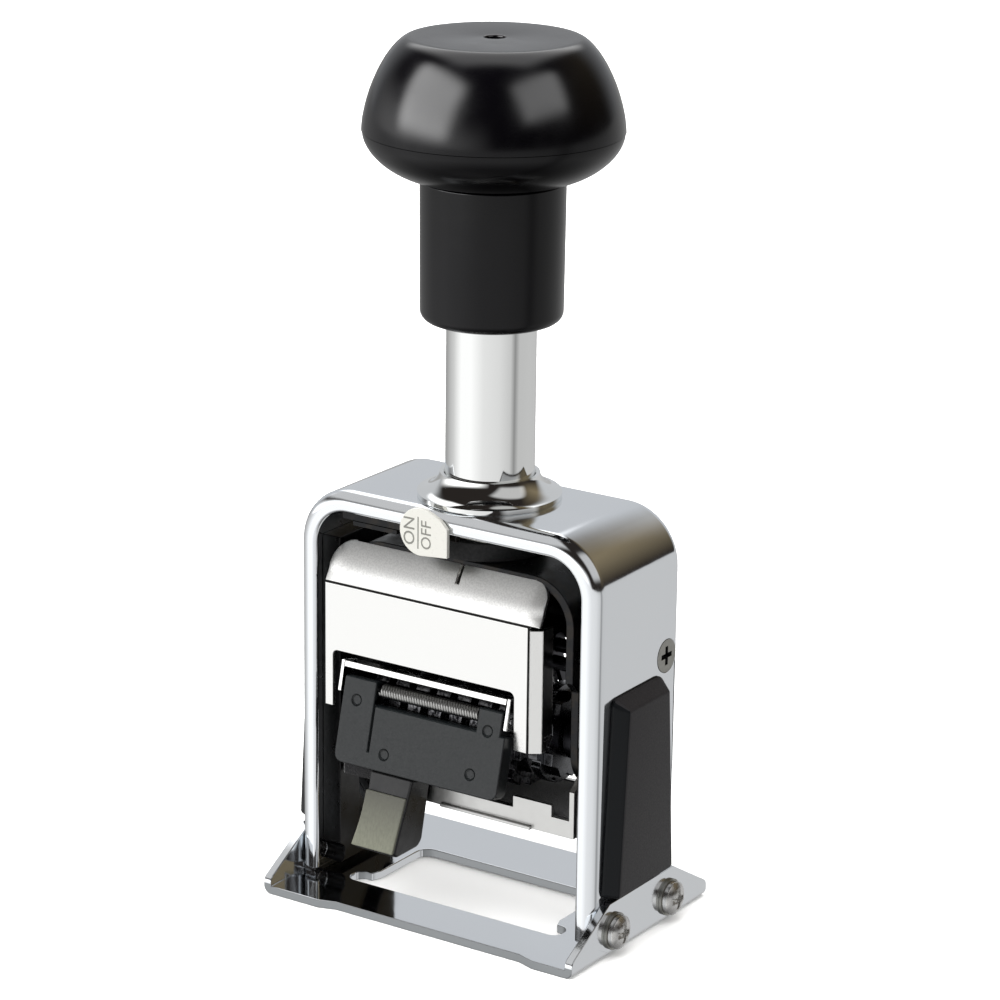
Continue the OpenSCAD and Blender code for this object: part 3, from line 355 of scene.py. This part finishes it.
# Face of the foot lever: olive grey and dull, mottled, and darker towards its top, paler towards the toe.
olive_face = material("olive_face_darker_on_top", "#8b8d7c", Roughness=0.55, IOR=1.45)
texture(olive_face, 0.3, stretch=(1, 1, 3), rough=(0.48, 0.62), depth=0.012, tint="#7c7d6f",
        cover=(0.35, 0.75))
faded(olive_face, 22, 12, "#5c5c54")
# Lock tab: cream lacquer on thin steel.
tab_lacquer = material("cream_tab_lacquer", "#f1f0e8", Roughness=0.3, IOR=1.5)
texture(tab_lacquer, 0.5, rough=(0.24, 0.4), depth=0.006)
# Stamped letters, rubbed with thin grey paint.
letter_paint = material("grey_letter_paint", "#8f8f88", Roughness=0.6)
# Rubber of the stop under the bush: dull black. Its black also paints the shade around the tube under the
# frame's top.
stop_rubber = material("black_rubber_stop_and_shade", "#1a1a1b", Roughness=0.75, IOR=1.45)
texture(stop_rubber, 0.5, rough=(0.65, 0.85), depth=0.01)
# Painted shade: flat near-black laid in the cover's creases and in the liner screws' crosses, where shade
# falls.
recess_shade = material("painted_recess_shade", "#262626", Roughness=0.6, IOR=1.3)
# Pale paper sweep under the machine.
paper = material("pale_paper", "#f0f0ef", Roughness=0.9, IOR=1.3)


# ---------- making pieces ----------

def piece(name, points, faces, made, body, nodes, slot, smooth=35, bevel=0.0):
    """A mesh from points in mm and faces. It rides on a body and stands for the CAD nodes; its slot is not
    used.
    Edges that turn by more than smooth degrees stay sharp, or are eased by a bevel of that width."""
    mesh = bpy.data.meshes.new(name)
    mesh.from_pydata(np.asarray(points) * MM, [], faces)
    work = bmesh.new()
    work.from_mesh(mesh)
    bmesh.ops.remove_doubles(work, verts=work.verts, dist=0.002 * MM)
    bmesh.ops.recalc_face_normals(work, faces=work.faces)
    work.to_mesh(mesh)
    work.free()
    mesh.materials.append(made)
    mesh.shade_smooth()
    mesh.set_sharp_from_angle(angle=np.radians(smooth))
    obj = bpy.data.objects.new(name, mesh)
    scene.collection.objects.link(obj)
    if bevel:
        ease = obj.modifiers.new("eased_edges", "BEVEL")
        ease.limit_method = "ANGLE"
        ease.angle_limit = np.radians(smooth)
        ease.width = bevel * MM
        ease.segments = 2
        ease.use_clamp_overlap = False
        ease.harden_normals = True
    if body:
        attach(obj, body)
    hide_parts(*nodes)
    return obj


def points_of(mesh):
    """Points of a mesh in mm, one row each."""
    points = np.empty(3 * len(mesh.vertices))
    mesh.vertices.foreach_get("co", points)
    return points.reshape(-1, 3) / MM


def triangles_of(mesh):
    """Corner numbers of a mesh's triangles, one row each."""
    mesh.calc_loop_triangles()
    corners = np.empty(3 * len(mesh.loop_triangles), dtype=int)
    mesh.loop_triangles.foreach_get("vertices", corners)
    return corners.reshape(-1, 3)


def move_points(mesh, points):
    """Puts a mesh's points at the given places in mm."""
    mesh.vertices.foreach_set("co", (points * MM).ravel())
    mesh.update()


def second_coat(obj, made, chosen):
    """Gives the material to the faces for which chosen(middles in mm, normals) is true."""
    faces = obj.data.polygons
    middles, normals = np.empty(3 * len(faces)), np.empty(3 * len(faces))
    faces.foreach_get("center", middles)
    faces.foreach_get("normal", normals)
    coats = np.empty(len(faces), dtype=int)
    faces.foreach_get("material_index", coats)
    obj.data.materials.append(made)
    coats[chosen(middles.reshape(-1, 3) / MM, normals.reshape(-1, 3))] = len(obj.data.materials) - 1
    faces.foreach_set("material_index", coats)
    obj.data.update()


def finished(node, made, body, slot, bevel=0.15, smooth=32):
    """A copy of a CAD node with its triangles joined into flat faces and its edges eased."""
    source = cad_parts[node].data
    obj = piece(node + "_finished", points_of(source), triangles_of(source), made, body, [node], slot,
                smooth, bevel)
    work = bmesh.new()
    work.from_mesh(obj.data)
    bmesh.ops.dissolve_limit(work, angle_limit=np.radians(0.6), verts=work.verts, edges=work.edges,
                             delimit={"SHARP"})
    work.to_mesh(obj.data)
    work.free()
    return obj


def grid_faces(rows, columns, close_rows=False, close_columns=True):
    """Quads of a grid of rows x columns points, joined round where asked."""
    index = np.arange(rows * columns).reshape(rows, columns)
    if close_rows:
        index = np.vstack([index, index[:1]])
    if close_columns:
        index = np.hstack([index, index[:, :1]])
    quads = np.stack([index[:-1, :-1], index[:-1, 1:], index[1:, 1:], index[1:, :-1]], axis=-1)
    return quads.reshape(-1, 4)


def eased(corners, steps=6):
    """An outline through corners (a, b, radius). Each is turned by an arc of its radius, which touches both
    sides at radius / tan(half the corner's angle) from it."""
    line = [np.array([corners[0][:2]], dtype=float)]
    for before, here, after in zip(corners, corners[1:], corners[2:]):
        corner = np.array(here[:2], dtype=float)
        back = np.array(before[:2]) - corner
        back /= np.linalg.norm(back)
        on = np.array(after[:2]) - corner
        on /= np.linalg.norm(on)
        half = np.arccos(np.clip(back @ on, -1, 1)) / 2
        if here[2] == 0 or half > np.radians(89):
            line.append(corner[None])
            continue
        centre = corner + (back + on) / np.linalg.norm(back + on) * here[2] / np.sin(half)
        first = corner + back * here[2] / np.tan(half) - centre
        last = corner + on * here[2] / np.tan(half) - centre
        turn = np.pi - 2 * half
        share = np.linspace(0, 1, steps + 1)[:, None]
        arc = np.sin((1 - share) * turn) * first + np.sin(share * turn) * last
        line.append(centre + arc / np.sin(turn))
    line.append(np.array([corners[-1][:2]], dtype=float))
    return np.vstack(line)


def turned(outline, steps=128, ring=False):
    """Points and faces of an outline (r, z) turned about the plunger's axis: x = r cos t, y = r sin t."""
    angle = np.linspace(0, 2 * np.pi, steps, endpoint=False)
    r, z = outline[:, :1], outline[:, 1:]
    points = np.stack([r * np.cos(angle), r * np.sin(angle), z + 0 * angle], axis=-1)
    return points.reshape(-1, 3), grid_faces(len(outline), steps, close_rows=ring)


def wire(line, radius, sides=8):
    """Points and faces of round wire along a line: each ring lies square to the line, on the two directions
    across it that are found from the line's own turn."""
    along = np.gradient(line, axis=0)
    along /= np.linalg.norm(along, axis=1)[:, None]
    out = np.cross(along, np.gradient(along, axis=0))
    size = np.linalg.norm(out, axis=1)[:, None]
    out = np.where(size > 1e-6, out / np.maximum(size, 1e-6), np.cross(along, [0.3, 0.5, 0.8]))
    out /= np.linalg.norm(out, axis=1)[:, None]
    side = np.cross(out, along)
    angle = np.linspace(0, 2 * np.pi, sides, endpoint=False)[None, :, None]
    rings = line[:, None] + radius * (np.cos(angle) * out[:, None] + np.sin(angle) * side[:, None])
    ends = np.vstack([[line[0]], rings.reshape(-1, 3), [line[-1]]])
    faces = grid_faces(len(line), sides) + 1
    cap = np.arange(sides)
    last = len(ends) - 1
    first_cap = np.stack([np.zeros(sides, int), 1 + (cap + 1) % sides, 1 + cap, 1 + cap], axis=-1)
    last_cap = np.stack([np.full(sides, last), last - sides + cap, last - sides + (cap + 1) % sides,
                         last - sides + (cap + 1) % sides], axis=-1)
    caps = np.vstack([first_cap, last_cap])[:, :3]
    return ends, faces.tolist() + caps.tolist()


def coil(start, end, radius, turns, steps=22):
    """Centre line of a coil from start to end, for t from 0 to 1:
    c(t) = start + t (end - start) + radius (cos a, sin a) with a = 2 pi turns t, across the axis."""
    start, end = np.array(start, dtype=float), np.array(end, dtype=float)
    axis = (end - start) / np.linalg.norm(end - start)
    one = np.cross(axis, [0, 0, 1] if abs(axis[2]) < 0.5 else [0, 1, 0])
    one /= np.linalg.norm(one)
    two = np.cross(axis, one)
    share = np.linspace(0, 1, int(turns * steps) + 1)[:, None]
    angle = 2 * np.pi * turns * share
    return start + share * (end - start) + radius * (np.cos(angle) * one + np.sin(angle) * two)


def word(text, height, thick):
    """Points and triangles of a word in raised letters of that height, centred on the origin."""
    curve = bpy.data.curves.new("word", "FONT")
    curve.body = text
    curve.size = 1.0
    curve.extrude = 0.5
    curve.resolution_u = 3
    holder = bpy.data.objects.new("word", curve)
    scene.collection.objects.link(holder)
    mesh = bpy.data.meshes.new_from_object(holder.evaluated_get(bpy.context.evaluated_depsgraph_get()))
    points, triangles = points_of(mesh), triangles_of(mesh)
    bpy.data.objects.remove(holder)
    bpy.data.curves.remove(curve)
    bpy.data.meshes.remove(mesh)
    low, high = points.min(axis=0), points.max(axis=0)
    points = (points - (low + high) / 2) * (height / (high[1] - low[1]))
    points[:, 2] *= thick / np.ptp(points[:, 2])
    return points, triangles


def faces_front(normals):
    """True for faces that look forward, within 60 degrees of straight ahead."""
    return normals[:, 1] < -0.5


def box_mm(node):
    """Lowest and highest corner of a CAD node in mm."""
    low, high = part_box(node)
    return np.array(low) / MM, np.array(high) / MM


# ---------- floor ----------

floor_r_m, floor_sides = 4.0, 64
floor_mesh = bpy.data.meshes.new("floor")
around = np.linspace(0, 2 * np.pi, floor_sides, endpoint=False)
rim = np.stack([floor_r_m * np.cos(around), floor_r_m * np.sin(around), 0 * around], axis=-1)
floor_mesh.from_pydata(rim, [], [list(range(floor_sides))])
floor_mesh.materials.append(paper)
floor = bpy.data.objects.new("floor", floor_mesh)
scene.collection.objects.link(floor)
floor.visible_glossy = False
floor.visible_diffuse = False
floor_only.objects.link(floor)

# ---------- frame and base ----------

arch = finished("outer_frame", chrome, "frame", "chrome_sheet", bevel=0.18, smooth=28)
base = finished("base_plate", chrome, "frame", "chrome_sheet", bevel=0.18)
base_edge_top = 2
second_coat(base, cut_edge, lambda middles, normals: faces_front(normals) & (middles[:, 2] < base_edge_top))
finished("base_screws", nickel, "frame", "nickel_fixings", bevel=0.12)
finished("base_washers", zinc, "frame", "nickel_fixings", bevel=0.08)
for side in ("left", "right"):
    grip = finished("side_grip_" + side, grip_plastic, "frame", "grip_plastic", bevel=0.25)
    # The front flanks get the smoother plastic with painted shade.
    second_coat(grip, smooth_shaded_plastic, lambda middles, normals: faces_front(normals))
    finished("guide_liner_" + side, liner_plastic, "frame", "liner_plastic", bevel=0.15)
liner_screws = finished("liner_screws", zinc, "frame", "nickel_fixings", bevel=0.08)
head_x, cross_depth = box_mm("liner_screws")[1][0], 0.12
# The recessed crosses of the liner screws get the painted shade.
second_coat(liner_screws, recess_shade, lambda middles, normals: np.abs(middles[:, 0]) < head_x - cross_depth)
finished("bush_nut", zinc, "frame", "nickel_fixings", bevel=0.2)
finished("lock_guide", black_oxide, "frame", "nickel_fixings", bevel=0.1)
lock_tab = finished("lock_tab", tab_lacquer, "lock", "lock_plate", bevel=0.12)
tab_back_y = -13.25
second_coat(lock_tab, black_oxide, lambda middles, normals: middles[:, 1] > tab_back_y)

# The bush: a turned ring with a concave flare between its rim and its throat.
bush_low, bush_high = box_mm("guide_bush")
tube_r, bush_gap, shank_wall = 7.5, 0.05, 1.3
rim_r, rim_ease, rim_h = bush_high[0], 0.2, 0.7
throat_top_w, throat_ease = 0.7, 0.25
flare_r, flare_out, flare_up = 4.1, 0.3, 0.8
top_z = bush_high[2]
frame_top_z = box_mm("outer_frame")[1][2]
flare = np.radians(np.linspace(266, 191, 18))
flare_line = np.stack([rim_r + flare_out + flare_r * np.cos(flare),
                       top_z + flare_up + flare_r * np.sin(flare)], axis=-1)
bush_outline = np.vstack([[(tube_r + bush_gap, bush_low[2]), (tube_r + shank_wall, bush_low[2]),
                           (tube_r + shank_wall, frame_top_z), (rim_r - rim_ease, frame_top_z),
                           (rim_r, frame_top_z + rim_ease), (rim_r, frame_top_z + rim_h)], flare_line,
                          [(tube_r + throat_top_w, top_z), (tube_r + throat_ease, top_z),
                           (tube_r + bush_gap, top_z - throat_ease)]])
piece("bush_turned", *turned(bush_outline, ring=True), turned_chrome, "frame", ["guide_bush"],
      "chrome_sheet", smooth=30)

# ---------- handle ----------

# The knob: its underside swells from the throat to the belly, a fine seam runs round the belly, and the
# shoulder rounds off to the crown. The exponents set how full the two curves are.
knob_low, knob_high = box_mm("handle_knob")
knob_r = knob_high[0]
knob_foot, knob_top = knob_low[2], knob_high[2]
belly_share = 0.34
belly = knob_foot + belly_share * (knob_top - knob_foot)
throat_r, crown_r, recess_r, recess_depth = 12.1, 14.0, 1.7, 3
swell_out, swell_down, shoulder_out, shoulder_round = 1.3, 1.1, 1.6, 0.66
seam_step, seam_depth = 0.12, 0.4
quarter = np.linspace(1e-3, np.pi / 2 - 1e-3, 34)
underside = np.stack([throat_r + (knob_r - seam_step - throat_r) * np.sin(quarter) ** swell_out,
                      belly - seam_step - (belly - seam_step - knob_foot) * np.cos(quarter) ** swell_down],
                     axis=-1)
seam = [(knob_r - seam_depth, belly - seam_step / 2)]
rise = 1 - np.linspace(1, 0, 44) ** shoulder_out
shoulder = np.stack([crown_r + (knob_r - crown_r) * (1 - rise ** shoulder_out) ** shoulder_round,
                     belly + (knob_top - belly) * rise], axis=-1)
recess = eased([(crown_r - 1, knob_top, 0), (recess_r, knob_top, 0.35),
                (recess_r, knob_top - recess_depth, 0.2), (0, knob_top - recess_depth, 0)])
knob_outline = np.vstack([[(0, knob_foot), (throat_r, knob_foot)], underside, seam, shoulder, recess])
knob = piece("knob_moulded", *turned(knob_outline, 160), gloss_plastic, "carriage", ["handle_knob"],
             "handle_plastic")
finished("handle_screw", nickel, "carriage", "nickel_fixings", bevel=0.08)

sleeve_low, sleeve_high = box_mm("handle_sleeve")
sleeve_r, sleeve_bore_r = sleeve_high[0], tube_r + 0.1
sleeve_taper, mouth_round, top_slope = 0.15, 1.8, 0.3
sleeve_outline = eased([(sleeve_bore_r, sleeve_high[2], 0), (sleeve_bore_r, sleeve_low[2], 0.3),
                        (sleeve_r - sleeve_taper, sleeve_low[2], mouth_round),
                        (sleeve_r, sleeve_high[2] - top_slope, 0.25), (sleeve_bore_r, sleeve_high[2], 0)])
sleeve = piece("sleeve_moulded", *turned(sleeve_outline[:-1], ring=True), gloss_plastic, "carriage",
               ["handle_sleeve"], "handle_plastic")
for moulded in (knob, sleeve):
    handle_only.objects.link(moulded)
    all_but_handle.objects.link(moulded)
for left_out in all_but_handle.collection_objects:
    left_out.light_linking.link_state = "EXCLUDE"

tube_low, tube_high = box_mm("plunger_tube")
yoke_top = box_mm("carriage_yoke")[1][2]
stud_r = 5
tube_outline = eased([(0, tube_low[2], 0), (stud_r, tube_low[2], 0.3), (stud_r, yoke_top, 0),
                      (tube_r, yoke_top, 0.2), (tube_r, tube_high[2], 0.3), (0, tube_high[2], 0)])
piece("tube_turned", *turned(tube_outline), turned_chrome, "carriage", ["plunger_tube"], "chrome_sheet")

# ---------- carriage ----------

finished("yoke_nut", zinc, "carriage", "nickel_fixings", bevel=0.2)
# The black stop also stands as painted shade over the tube below the bush.
finished("rubber_stop", stop_rubber, "carriage", "stop_rubber", bevel=0.3)
finished("carriage_yoke", black_oxide, "carriage", "black_steel", bevel=0.2)
cover = finished("front_cover", satin_nickel, "carriage", "chrome_sheet", bevel=0.14)

# The cover's head is pressed out like a cushion above a sharp crease, and its right edge is turned back.
cover_low, cover_high = box_mm("front_cover")
cover_face_y, head_top_z = cover_low[1], cover_high[2]
crease_z, head_depth, hollow, hollow_half = 55.5, 3.2, 0.4, 0.18
cushion_w, cushion_drop = 4.5, 0.7
turn_x, turn_r, turn_slope, sheet_t, turn_crease_w = 16.5, 1.9, 0.7, 0.8, 0.34
slit_left, slit_right, slit_foot_z = 0.9, 1.6, 59.7
skin, inner_pull = 0.2, 0.4


def head_y(z):
    """Front of the head at that height: y = face + depth * share ** 1.7, with share from crease to top."""
    return cover_face_y + head_depth * np.maximum((z - crease_z) / (head_top_z - crease_z), 0) ** 1.7


cuts = [(2, z) for z in (crease_z - hollow_half, crease_z, crease_z + hollow_half, slit_foot_z)]
cuts += [(2, z) for z in np.linspace(crease_z + 0.9, head_top_z - 0.3, 12) if abs(z - slit_foot_z) > 0.2]
cuts += [(0, x) for x in (slit_left, slit_right, turn_x - turn_crease_w, turn_x - turn_crease_w / 2)]
cuts += [(0, x) for d in (0.4, 1.0, 1.8, 2.8, cushion_w) for x in (cover_low[0] + d, cover_high[0] - d)]
work = bmesh.new()
work.from_mesh(cover.data)
for axis, place in cuts:
    spot, normal = [0, 0, 0], [0, 0, 0]
    spot[axis], normal[axis] = place * MM, 1
    bmesh.ops.bisect_plane(work, geom=work.verts[:] + work.edges[:] + work.faces[:], plane_co=spot,
                           plane_no=normal, dist=1e-7)
work.to_mesh(cover.data)
work.free()
flat = points_of(cover.data)
x, y, z = flat.T
share = (z - crease_z) / (head_top_z - crease_z)
to_edge = np.clip(1 - np.minimum(x - cover_low[0], cover_high[0] - x) / cushion_w, 0, 1)
edge_drop = cushion_drop * to_edge ** 2 * np.minimum(share * 4, 1)
cushion = head_y(z) - cover_face_y - head_depth * share + edge_drop
at_crease = (np.abs(share) <= 1e-3) & (y < cover_face_y + skin)
at_edge = (share < -1e-3) & (np.abs(x - turn_x + turn_crease_w / 2) < 0.01) & (y < cover_face_y + skin)
from_turn = np.stack([x - turn_x, y - cover_face_y - turn_r], axis=-1)
in_turn = (share < -1e-3) & (from_turn[:, 0] > 0.05) & (from_turn[:, 1] < 0.01)
outside = in_turn & (np.linalg.norm(from_turn, axis=1) > turn_r - sheet_t / 2)
inside = in_turn & ~outside & (from_turn[:, 1] < -0.05)
shaped = flat.copy()
shaped[:, 1] += np.where(share > 1e-3, cushion, 0) + hollow * (at_crease | at_edge)
shaped[outside, 1] = cover_face_y + from_turn[outside, 0] * turn_slope
shaped[inside, :2] -= inner_pull * from_turn[inside]
move_points(cover.data, shaped)
cover.data.set_sharp_from_angle(angle=np.radians(30))


def in_creases(middles, normals):
    """Faces of the two grooves that get painted shade: the one under the head and the one along the turned
    edge.
    """
    x, y, z = middles.T
    front = y < cover_face_y + 0.5
    under_head = np.abs(z - crease_z) < hollow_half
    along_edge = (np.abs(x - turn_x + turn_crease_w / 2) < turn_crease_w / 2) & (z < crease_z)
    return front & (under_head | along_edge)


# Both grooves are painted near-black as shade.
second_coat(cover, recess_shade, in_creases)
second_coat(cover, pressed_nickel_painted_grey_top, lambda middles, normals: middles[:, 2] > crease_z + hollow_half)

# A bright rib stands in the left half of the cover's slit.
rib_w, rib_front, rib_back = 0.36, -0.06, 0.7
rib_z = np.array([slit_foot_z + 0.05, 60.7, 61.6, head_top_z - 0.15])
ring = np.array([(0, rib_front), (rib_w, rib_front), (rib_w, rib_back), (0, rib_back)])
rib = np.stack([slit_left + ring[:, 0] + 0 * rib_z[:, None], head_y(rib_z)[:, None] + ring[:, 1],
                rib_z[:, None] + 0 * ring[:, 0]], axis=-1)
piece("slit_rib", rib.reshape(-1, 3), grid_faces(4, 4).tolist() + [[3, 2, 1, 0], [12, 13, 14, 15]],
      satin_nickel, "carriage", [], "chrome_sheet", smooth=20)
finished("wheel_shaft", bright_steel, "carriage", "bright_steel", bevel=0.2)

finished("shaft_spacers", blued_steel_and_shade, "carriage", "bright_steel", bevel=0.12)
for sheet in (arch, base, cover):
    sheet_only.objects.link(sheet)
bail = finished("hinge_bracket", satin_nickel, "carriage", "chrome_sheet", bevel=0.16)

# The bail's front edge is turned down, so that it shows as a broad bright band over the guard.
pin_y, pin_z, lean = -12.2, 38.2, np.radians(14)
bail_foot, turned_down = 3.1, 0.45
along_guard = np.array([0, np.sin(lean), np.cos(lean)])
bent = points_of(bail.data)
at_foot = np.abs((bent - [0, pin_y, pin_z]) @ along_guard - bail_foot) < 0.02
move_points(bail.data, bent - np.outer(at_foot * turned_down, along_guard))

finished("detent_rod", blued_steel_and_shade, "carriage", "bright_steel", bevel=0.1)
finished("detent_pawls", blued_steel_and_shade, "carriage", "spring_steel", bevel=0.08)
finished("rocker_rod", blued_steel_and_shade, "carriage", "bright_steel", bevel=0.1)
finished("pawl_rocker", blued_steel_and_shade, "rocker", "spring_steel", bevel=0.08)
finished("guard_pin", bright_steel, "guard", "bright_steel", bevel=0.08)

# Two wound springs pull the yoke's lugs up towards the liners' posts.
spring_low, spring_high = box_mm("return_springs")
spring_wire_r, spring_coil_r, spring_turns = 0.25, 0.85, 18
for side in (-1, 1):
    spring_x = side * (spring_high[0] - 1.1)
    spring_y = (spring_low[1] + spring_high[1]) / 2
    foot = (spring_x, spring_y, spring_low[2] + spring_wire_r)
    head = (spring_x, spring_y, spring_high[2] - spring_wire_r)
    wound = piece("return_spring_" + ("left" if side < 0 else "right"),
                  *wire(coil(foot, head, spring_coil_r, spring_turns, 16), spring_wire_r, 6),
                  spring_steel, None, [], "spring_steel", smooth=60)
    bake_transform(wound)
    if side > 0:
        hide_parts("return_springs")

# ---------- number wheels ----------

block_top, lift = 10.26, 0.02
wheel_pitch, bank_x, ring_w = 4.2, -17.9, 2.8
type_h, type_thick, type_narrowed = 2.5, 0.25, 0.85
blocks = 10
numerals = [word(str(digit), type_h, type_thick) for digit in range(blocks)]
for wheel in range(7):
    node = f"number_wheel_{wheel + 1}"
    body = f"wheel_{wheel + 1}"
    finished(node, type_metal, body, "type_metal", bevel=0.1)
    centre = np.array([bank_x + wheel * wheel_pitch + ring_w / 2, 0, (sum(box_mm(node)) / 2)[2]])
    all_points, all_faces, count = [], [], 0
    for block in range(blocks):
        turn = np.radians(360 / blocks * block)
        outward = np.array([0, -np.sin(turn), np.cos(turn)])
        up = np.array([0, -np.cos(turn), -np.sin(turn)])
        points, triangles = numerals[(block + 3 * wheel) % blocks]
        stood = points @ np.array([(type_narrowed, 0, 0), up, outward])
        all_points.append(stood + centre + (block_top + lift) * outward)
        all_faces.append(triangles + count)
        count += len(points)
    piece(f"numerals_{wheel + 1}", np.vstack(all_points), np.vstack(all_faces), type_metal, body, [],
          "type_metal")

finished("repeat_dial", dial_metal, "dial", "dial_metal", bevel=0.12)
finished("dial_ratchet", dial_metal, "dial", "dial_metal", bevel=0.1)

# ---------- ink pad ----------

finished("pad_tray", tray_metal, "pad", "tray_metal", bevel=0.12)
finished("follower_pins", bright_steel, "pad", "bright_steel", bevel=0.1)


def rounded_rectangle(half_x, half_y, corner, steps=6):
    """A closed outline (x, y) with corners of that radius."""
    return eased([(0, -half_y, 0), (half_x, -half_y, corner), (half_x, half_y, corner),
                  (-half_x, half_y, corner), (-half_x, -half_y, corner), (0, -half_y, 0)], steps)[:-1]


pad_low, pad_high = box_mm("ink_pad")
middle = (pad_low + pad_high) / 2
half = (pad_high - pad_low) / 2
# Inset of the outline and share of the height, from the closed bottom to the closed top.
pad_corner, closed = 0.6, half[1] - 1e-3
levels = [(closed, 0.0), (0.1, 0.0), (0.0, 0.12), (0.0, 0.8), (0.35, 0.96), (0.9, 1.0), (2.0, 0.99),
          (closed, 0.97)]
layers = []
for inset, share in levels:
    outline = rounded_rectangle(half[0] - inset, half[1] - inset, max(pad_corner - inset, 1e-4))
    layers.append(np.column_stack([outline + middle[:2],
                                   np.full(len(outline), pad_low[2] + share * 2 * half[2])]))
felt_pad = piece("felt_pad", np.vstack(layers), grid_faces(len(layers), len(layers[0])), felt, "pad",
                 ["ink_pad"], "pad_felt")

# ---------- front guard ----------

finished("guard_plate", guard_plastic, "guard", "guard_plastic", bevel=0.25)
finished("foot_lever", foot_plastic, "guard", "foot_plastic", bevel=0.5)
finished("foot_pad", olive_face, "guard", "foot_rubber", bevel=0.25)

guard_low, guard_high = box_mm("guard_spring")
guard_mid = (guard_low + guard_high) / 2
guard_end, guard_coil_r, guard_turns, guard_wire_r = 0.1, 1.0, 37.5, 0.265
wound_line = coil((guard_low[0] + guard_end, guard_mid[1], guard_mid[2]),
                  (guard_high[0] - guard_end, guard_mid[1], guard_mid[2]), guard_coil_r, guard_turns)
piece("guard_spring_wound", *wire(wound_line, guard_wire_r), drawn_wire, "carriage", ["guard_spring"],
      "spring_steel", smooth=60)

# ---------- lettering on the lock tab ----------

tab_face, stamp_h = box_mm("lock_tab")[0][1], 0.06
for text, x, z, height in (("ON", -6.5, 68.2, 2.2), ("OFF", -3.1, 68.0, 2.0)):
    points, triangles = word(text, height, stamp_h)
    stamped = points @ np.array([(0, 0, 1), (-1, 0, 0), (0, -1, 0)]) + np.array([x, tab_face, z])
    piece("stamped_" + text.lower(), stamped, triangles, letter_paint, "lock", [], "lock_plate")

bar = np.array([(-4.8, 65.4), (-4.58, 65.4), (-4.58, 70.9), (-4.8, 70.9)])
bar_front = np.insert(bar, 1, tab_face - stamp_h / 2, axis=1)
bar_back = np.insert(bar, 1, tab_face + stamp_h / 2, axis=1)
piece("stamped_bar", np.vstack([bar_front, bar_back]),
      grid_faces(2, 4).tolist() + [[0, 1, 2, 3], [7, 6, 5, 4]], letter_paint, "lock", [], "lock_plate")
